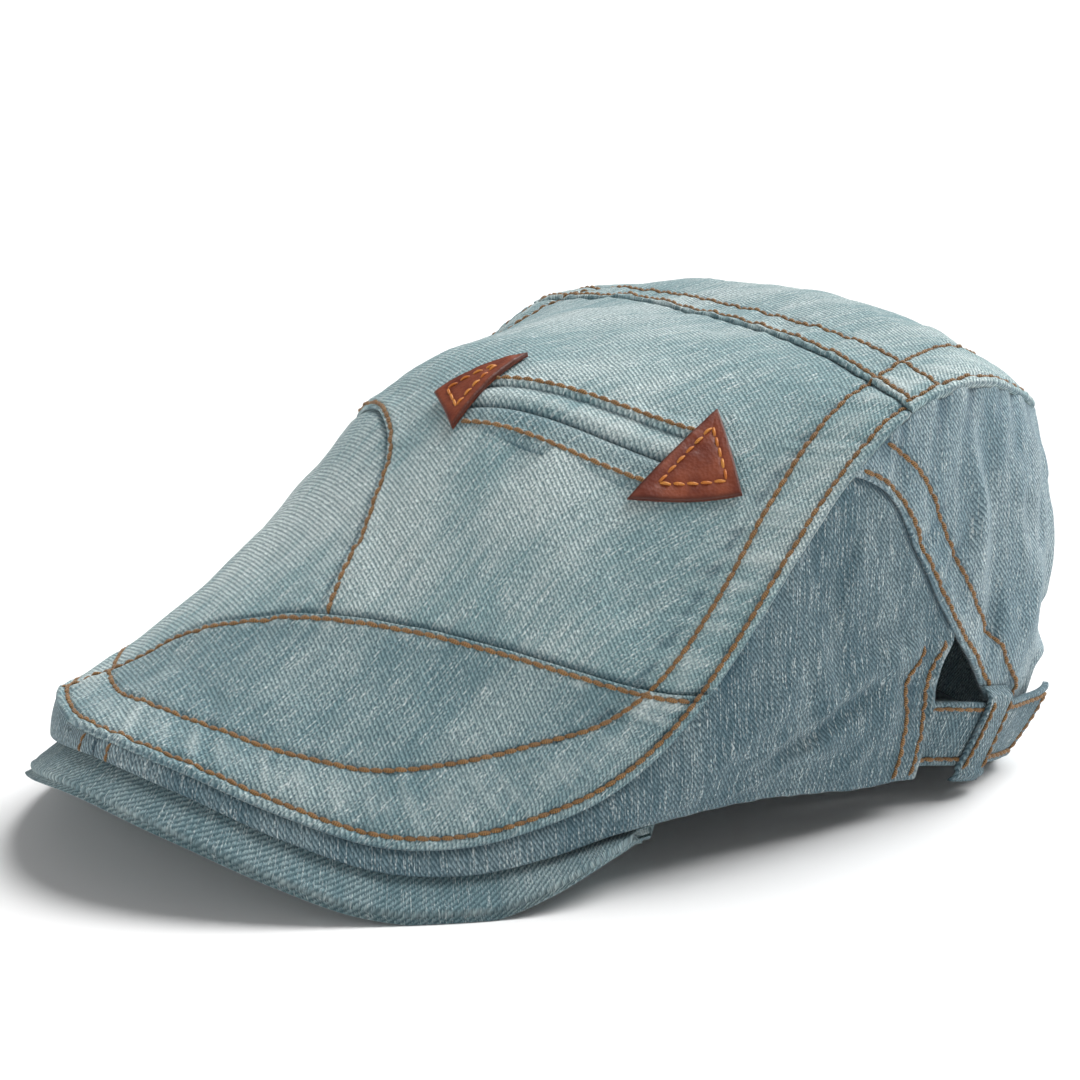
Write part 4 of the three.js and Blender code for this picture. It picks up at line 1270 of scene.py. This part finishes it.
def denim(name, deep, mid, pale, wash, twill_pitch=1.1, twill_turn=-1.45, flecks=1.0):
    """Stone-washed cotton twill: diagonal ribs about a millimetre apart, pale slubs along the
    warp, cloudy fading, near white on worn ridges, and painted shade, a darker blue, in creases and
    hollows. Real ribs and yarns are 0.5 mm apart, drawn coarser here so that they show."""
    material, tree = fresh(name)
    cloth = add(tree, "UVMap", CLOTH, {})
    wear_and_shade = add(tree, "Attribute", WEAR_AND_SHADE, {}, "Fac")
    # Patches of yarn and fading: width and length in mm, offset, detail and roughness.
    patch = {}
    for part, across, along, shift, detail, rough in (
        ("grain", 0.45, 1.0, 0, 2.0, 0.5), ("clouds", 30, 60, 3, 2.0, 0.5),
        ("streaks", 1.0, 50, 7, 3.0, 0.6), ("slubs", 0.42, 9.0, 11, 1.0, 0.5),
        ("short", 0.5, 0.8, 17, 1.0, 0.5), ("bleach", 4.0, 60, 23, 2.0, 0.5),
    ):
        place = add(tree, "Mapping", {}, {
            "Vector": cloth, "Location": (shift, shift, 0), "Scale": (1 / across, 1 / along, 1),
        })
        patch[part] = add(tree, "TexNoise", FLAT, {
            "Vector": place, "Scale": 1.0, "Detail": detail, "Roughness": rough,
        })
    ribs = (1 / twill_pitch, 1 / twill_pitch, 1)
    twill = add(tree, "Mapping", {}, {
        "Vector": cloth, "Rotation": (0, 0, twill_turn), "Scale": ribs,
    })
    phase = add(tree, "SeparateXYZ", {}, {0: twill})
    phase = add(tree, "Math", SUM, {0: patch["grain"], 1: 0.8, 2: phase})
    phase = add(tree, "Math", PRODUCT, {0: phase, 1: 2 * math.pi})
    wave = add(tree, "Math", SINE, {0: phase})
    fade = add(tree, "Math", SUM, {0: patch["streaks"], 1: 0.5, 2: patch["clouds"]})
    fade = add(tree, "Math", SUM, {0: patch["bleach"], 1: 0.4, 2: fade})
    # How much of each tint shows: its pattern from low to high gives a share from one to another.
    share = {}
    for part, pattern, low, high, low_share, high_share in (
        ("rib", wave, -1.0, 0.8, 0.0, 1.0), ("furrow", wave, -1.0, 0.8, 0.72, 0.0),
        ("faded", fade, 0.74, 1.2, 0.0, wash), ("slub", patch["slubs"], 0.52, 0.7, 0.0, flecks),
        ("cut", patch["short"], 0.44, 0.62, 0.1, 1.0), ("dark", patch["grain"], 0.3, 0.7, 0.6, 0.0),
        ("ridge", wear_and_shade, 0.1, 1.0, 0.0, 0.62), ("rubbed", patch["grain"], 0.3, 0.65, 0.35, 1.0),
        # The next share is painted shade: it grows where the cloth lies below the smooth surface.
        ("hollow_shade", wear_and_shade, -0.35, -1.2, 0.0, 0.5),
    ):
        share[part] = add(tree, "MapRange", EASED, {
            0: pattern, 1: low, 2: high, 3: low_share, 4: high_share,
        })
    fleck = add(tree, "Math", PRODUCT, {0: share["slub"], 1: share["cut"]})
    worn = add(tree, "Math", PRODUCT, {0: share["ridge"], 1: share["rubbed"]})
    colour = linear(mid)
    # Tints in turn; the last, #27485a, is painted shade where the cloth lies low.
    for amount, tint in (
        (share["faded"], pale), (share["furrow"], deep), (fleck, "#e2eceb"), (share["dark"], deep),
        (worn, "#dbe5e3"), (share["hollow_shade"], "#27485a"),
    ):
        colour = add(tree, "Mix", TINT, {0: amount, 6: colour, 7: linear(tint)}, 2)
    relief = add(tree, "Math", SUM, {0: share["rib"], 1: 0.6, 2: patch["grain"]})
    relief = add(tree, "Math", SUM, {0: fleck, 1: 0.5, 2: relief})
    bump = add(tree, "Bump", {}, {"Strength": 0.7, "Distance": 0.0003, "Height": relief})
    surface = add(tree, "BsdfPrincipled", {}, {
        "Base Color": colour, "Roughness": 0.93, "Specular IOR Level": 0.25, "Sheen Weight": 0.12,
        "Sheen Roughness": 0.5, "Normal": bump,
    })
    add(tree, "OutputMaterial", {}, {0: surface})
    return material


def thread():
    """Spun polyester topstitch thread, two plies twisted: amber brown, with painted shade between
    the plies.
    """
    material, tree = fresh("topstitch thread")
    cloth = add(tree, "UVMap", CLOTH, {})
    shade = add(tree, "Attribute", WEAR_AND_SHADE, {}, "Fac")
    along = add(tree, "SeparateXYZ", {}, {0: cloth}, "X")
    round_it = add(tree, "SeparateXYZ", {}, {0: cloth}, "Y")
    twist = add(tree, "Math", SUM, {0: along, 1: 0.9, 2: round_it})
    twist = add(tree, "Math", PRODUCT, {0: twist, 1: 4 * math.pi})
    ply = add(tree, "Math", SINE, {0: twist})
    # The dark base shows in the groove between the plies as painted shade; the ply crests carry the
    # thread's amber.
    colour = tinted(tree, linear("#5d3f20"), (
        (ply, -0.9, 0.6, 1.0, "#a97d45"), (shade, -1.0, 1.0, 0.45, "#71502c"),
    ))
    bump = add(tree, "Bump", {}, {"Strength": 0.5, "Distance": 0.0002, "Height": ply})
    surface = add(tree, "BsdfPrincipled", {}, {
        "Base Color": colour, "Roughness": 0.62, "Sheen Weight": 0.2, "Normal": bump,
    })
    add(tree, "OutputMaterial", {}, {0: surface})
    return material


def tab_thread():
    """Waxed linen thread on the leather: orange, a little different from stitch to stitch."""
    material, tree = fresh("orange waxed thread")
    shade = add(tree, "Attribute", WEAR_AND_SHADE, {}, "Fac")
    amount = add(tree, "MapRange", {}, {0: shade, 1: -1.0, 2: 1.0, 3: 0.0, 4: 1.0})
    colour = add(tree, "Mix", TINT, {0: amount, 6: linear("#b8641c"), 7: linear("#d08a3a")}, 2)
    surface = add(tree, "BsdfPrincipled", {}, {"Base Color": colour, "Roughness": 0.5})
    add(tree, "OutputMaterial", {}, {0: surface})
    return material


def leather():
    """Vegetable-tanned leather, cut and left raw: red-brown, fine grain, dark at the edge."""
    material, tree = fresh("tanned leather")
    cloth = add(tree, "UVMap", CLOTH, {})
    edge = add(tree, "Attribute", WEAR_AND_SHADE, {}, "Fac")
    wide = add(tree, "Mapping", {}, {"Vector": cloth, "Scale": (1 / 7, 1 / 9, 1)})
    fine = add(tree, "Mapping", {}, {"Vector": cloth, "Scale": (1 / 0.9, 1 / 0.9, 1)})
    clouds = add(tree, "TexNoise", FLAT, {"Vector": wide, "Scale": 1.0, "Detail": 3.0})
    pores = add(tree, "TexVoronoi", {"voronoi_dimensions": "2D"}, {"Vector": fine, "Scale": 1.0})
    colour = tinted(tree, linear("#6b3020"), (
        (clouds, 0.3, 0.7, 1.0, "#88452d"), (edge, 0.1, 1.0, 0.75, "#3a1a12"),
    ))
    bump = add(tree, "Bump", {}, {"Strength": 0.35, "Distance": 0.0002, "Height": pores})
    surface = add(tree, "BsdfPrincipled", {}, {
        "Base Color": colour, "Roughness": 0.48, "Specular IOR Level": 0.4, "Normal": bump,
    })
    add(tree, "OutputMaterial", {}, {0: surface})
    return material


def finish(piece, material, slot, *nodes):
    """Gives a piece its material and body, and hides the nodes of the solids that it replaces. Its
    slot is not used.
    """
    piece.data.materials.append(material)
    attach(piece, "root")
    if nodes:
        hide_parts(*nodes)


def cut_of(piece):
    """The flat cut of a piece, in metres: the sides of the smallest rectangle round its cloth
    map, tried at every second degree, and half the closed slab's area."""
    mesh = piece.data
    uv = np.empty(len(mesh.loops) * 2, np.float32)
    mesh.uv_layers["cloth"].data.foreach_get("uv", uv)
    turn = np.radians(np.arange(0, 90, 2))
    wide = np.ptp(uv.reshape(-1, 2) @ np.array([np.cos(turn), np.sin(turn)]), axis=0) * MM
    long = np.ptp(uv.reshape(-1, 2) @ np.array([-np.sin(turn), np.cos(turn)]), axis=0) * MM
    least = np.argmin(wide * long)
    areas = np.empty(len(mesh.polygons))
    mesh.polygons.foreach_get("area", areas)
    return float(wide[least]), float(long[least]), float(areas.sum() / 2)


def cloth_sheet(piece):
    """Reads a cloth piece's flat cut: the sides of its smallest rectangle and half its area, which
    are not used further."""
    wide, long, area = cut_of(piece)


def camera():
    """Where the cap is seen from: turned to its left, a little above it."""
    azimuth, rise = math.radians(CAMERA_TURN), math.radians(CAMERA_RISE)
    back = Vector((
        math.sin(azimuth) * math.cos(rise), -math.cos(azimuth) * math.cos(rise), math.sin(rise),
    ))
    right = Vector((math.cos(azimuth), math.sin(azimuth), 0))
    target = Vector(CAMERA_TARGET) + Vector(SHIFT)
    data = bpy.data.cameras.new("camera")
    data.sensor_width = 36
    data.lens = 36 * LENS_PX / FRAME_PX
    data.shift_x = SHIFT_PX[0] / FRAME_PX
    data.shift_y = SHIFT_PX[1] / FRAME_PX
    view = bpy.data.objects.new("camera", data)
    bpy.context.scene.collection.objects.link(view)
    turn = Matrix((right, back.cross(right), back)).transposed().to_4x4()
    view.matrix_world = Matrix.Translation((target + back * CAMERA_AWAY) * MM) @ turn
    bpy.context.scene.camera = view


def lamp(name, kind, power, place, way):
    """A light of a kind and power, at a place in metres, shining a way."""
    data = bpy.data.lights.new(name, kind)
    data.energy = power
    light = bpy.data.objects.new(name, data)
    bpy.context.scene.collection.objects.link(light)
    light.location = place
    light.rotation_euler = Vector(way).to_track_quat("-Z", "Y").to_euler()
    return data


def studio():
    """White floor to a white horizon, a large soft light overhead from behind the cap, weak
    fill from its front right, and the sky."""
    mesh = bpy.data.meshes.new("floor")
    corners = [(-60, -60, 0), (60, -60, 0), (60, 60, 0), (-60, 60, 0)]
    mesh.from_pydata(corners, [], [(0, 1, 2, 3)])
    floor = bpy.data.objects.new("floor", mesh)
    bpy.context.scene.collection.objects.link(floor)
    material, tree = fresh("white paper")
    surface = add(tree, "BsdfPrincipled", {}, {"Base Color": linear("#fafafa"), "Roughness": 0.9})
    add(tree, "OutputMaterial", {}, {0: surface})
    mesh.materials.append(material)
    world = bpy.data.worlds.new("studio")
    world.use_nodes = True
    tree = world.node_tree
    tree.nodes.clear()
    ray = add(tree, "TexCoord", {}, {}, "Generated")
    height = add(tree, "SeparateXYZ", {}, {0: ray}, "Z")
    strength = add(tree, "MapRange", EASED, {
        0: height, 1: 0.12, 2: 0.34, 3: SKY_STRENGTH[0], 4: SKY_STRENGTH[1],
    })
    glow = add(tree, "Background", {}, {"Color": linear("#ffffff"), "Strength": strength})
    add(tree, "OutputWorld", {}, {0: glow})
    bpy.context.scene.world = world
    bpy.context.scene.view_settings.view_transform = "Standard"
    sun = lamp("overhead", "SUN", SUN_STRENGTH, (0, 0, 0), SUN_WAY)
    sun.angle = SUN_ANGLE
    place = Vector((-0.3, -1.2, 0.55))
    fill = lamp("camera_left", "AREA", FILL_STRENGTH, place, Vector((0, 0, 0.05)) - place)
    fill.size = 0.7


def build():
    """All the pieces. Their denims differ in the turn of the twill, and in depth of colour and
    fading, which are painted light and shade: the crown's painted lit, the others painted darker
    as shade, the sides' most.
    """
    # One denim in lit and shaded copies: painted light on the crown, painted shade on the front, back,
    # brim and, darkest, the sides.
    crown_denim_painted_light = denim("washed denim", "#48676e", "#a5c2c5", "#e9f5f3", 0.95)
    front_denim_painted_shade = denim("washed denim front", "#3e5b64", "#8fadb2", "#c3d6d6", 0.85)
    side_denim_painted_shade = denim("washed denim side", "#2c434d", "#6c8892", "#a4b9be", 0.8, 0.9, -0.6, 0.8)
    back_denim_painted_shade = denim("washed denim back", "#3d5662", "#92adb6", "#c4d5d9", 0.8, 0.9, -0.6, 0.8)
    brim_denim_painted_shade = denim("washed denim brim", "#38525b", "#7b989e", "#b0c3c4", 0.7, 1.1, -0.8, 0.6)
    hide, amber, orange = leather(), thread(), tab_thread()
    crown = (front_panel(), gusset_panel(), top_panel(), rear_top_panel())
    left, right, back = walls()
    sheets = (
        (crown[0], front_denim_painted_shade, "front_panel"), (crown[1], crown_denim_painted_light, "gusset_panel"),
        (crown[2], crown_denim_painted_light, "top_panel"), (crown[3], crown_denim_painted_light, "rear_top_panel"),
        (left, side_denim_painted_shade, "side_panel_left"), (right, side_denim_painted_shade, "side_panel_right"),
        (back, back_denim_painted_shade, "back_panel"), (brim(), brim_denim_painted_shade, "brim"),
        (welt("pocket_welt_upper", UPPER_LIP, pocket_high), crown_denim_painted_light, "pocket_upper_welt"),
        (welt("pocket_welt_lower", LOWER_LIP, pocket_low), front_denim_painted_shade, "pocket_lower_welt"),
        (strap(), side_denim_painted_shade, "strap"), (strap_loop(), side_denim_painted_shade, "strap_loop"),
    )
    for piece, material, node in sheets:
        finish(piece, material, "denim", node)
        cloth_sheet(piece)
    for name, shares, seed, node in (
        ("leather_tab_first", TAB_LEFT, 111, "leather_tab_left"),
        ("leather_tab_second", TAB_RIGHT, 112, "leather_tab_right"),
    ):
        finish(leather_tab(name, tab_plan(shares), seed), hide, "leather", node)
    for row in (crown_stitches(), wall_stitches(), strap_stitches()):
        finish(row, amber, "denim")
    finish(tab_stitches(), orange, "leather")


build()
studio()
camera()
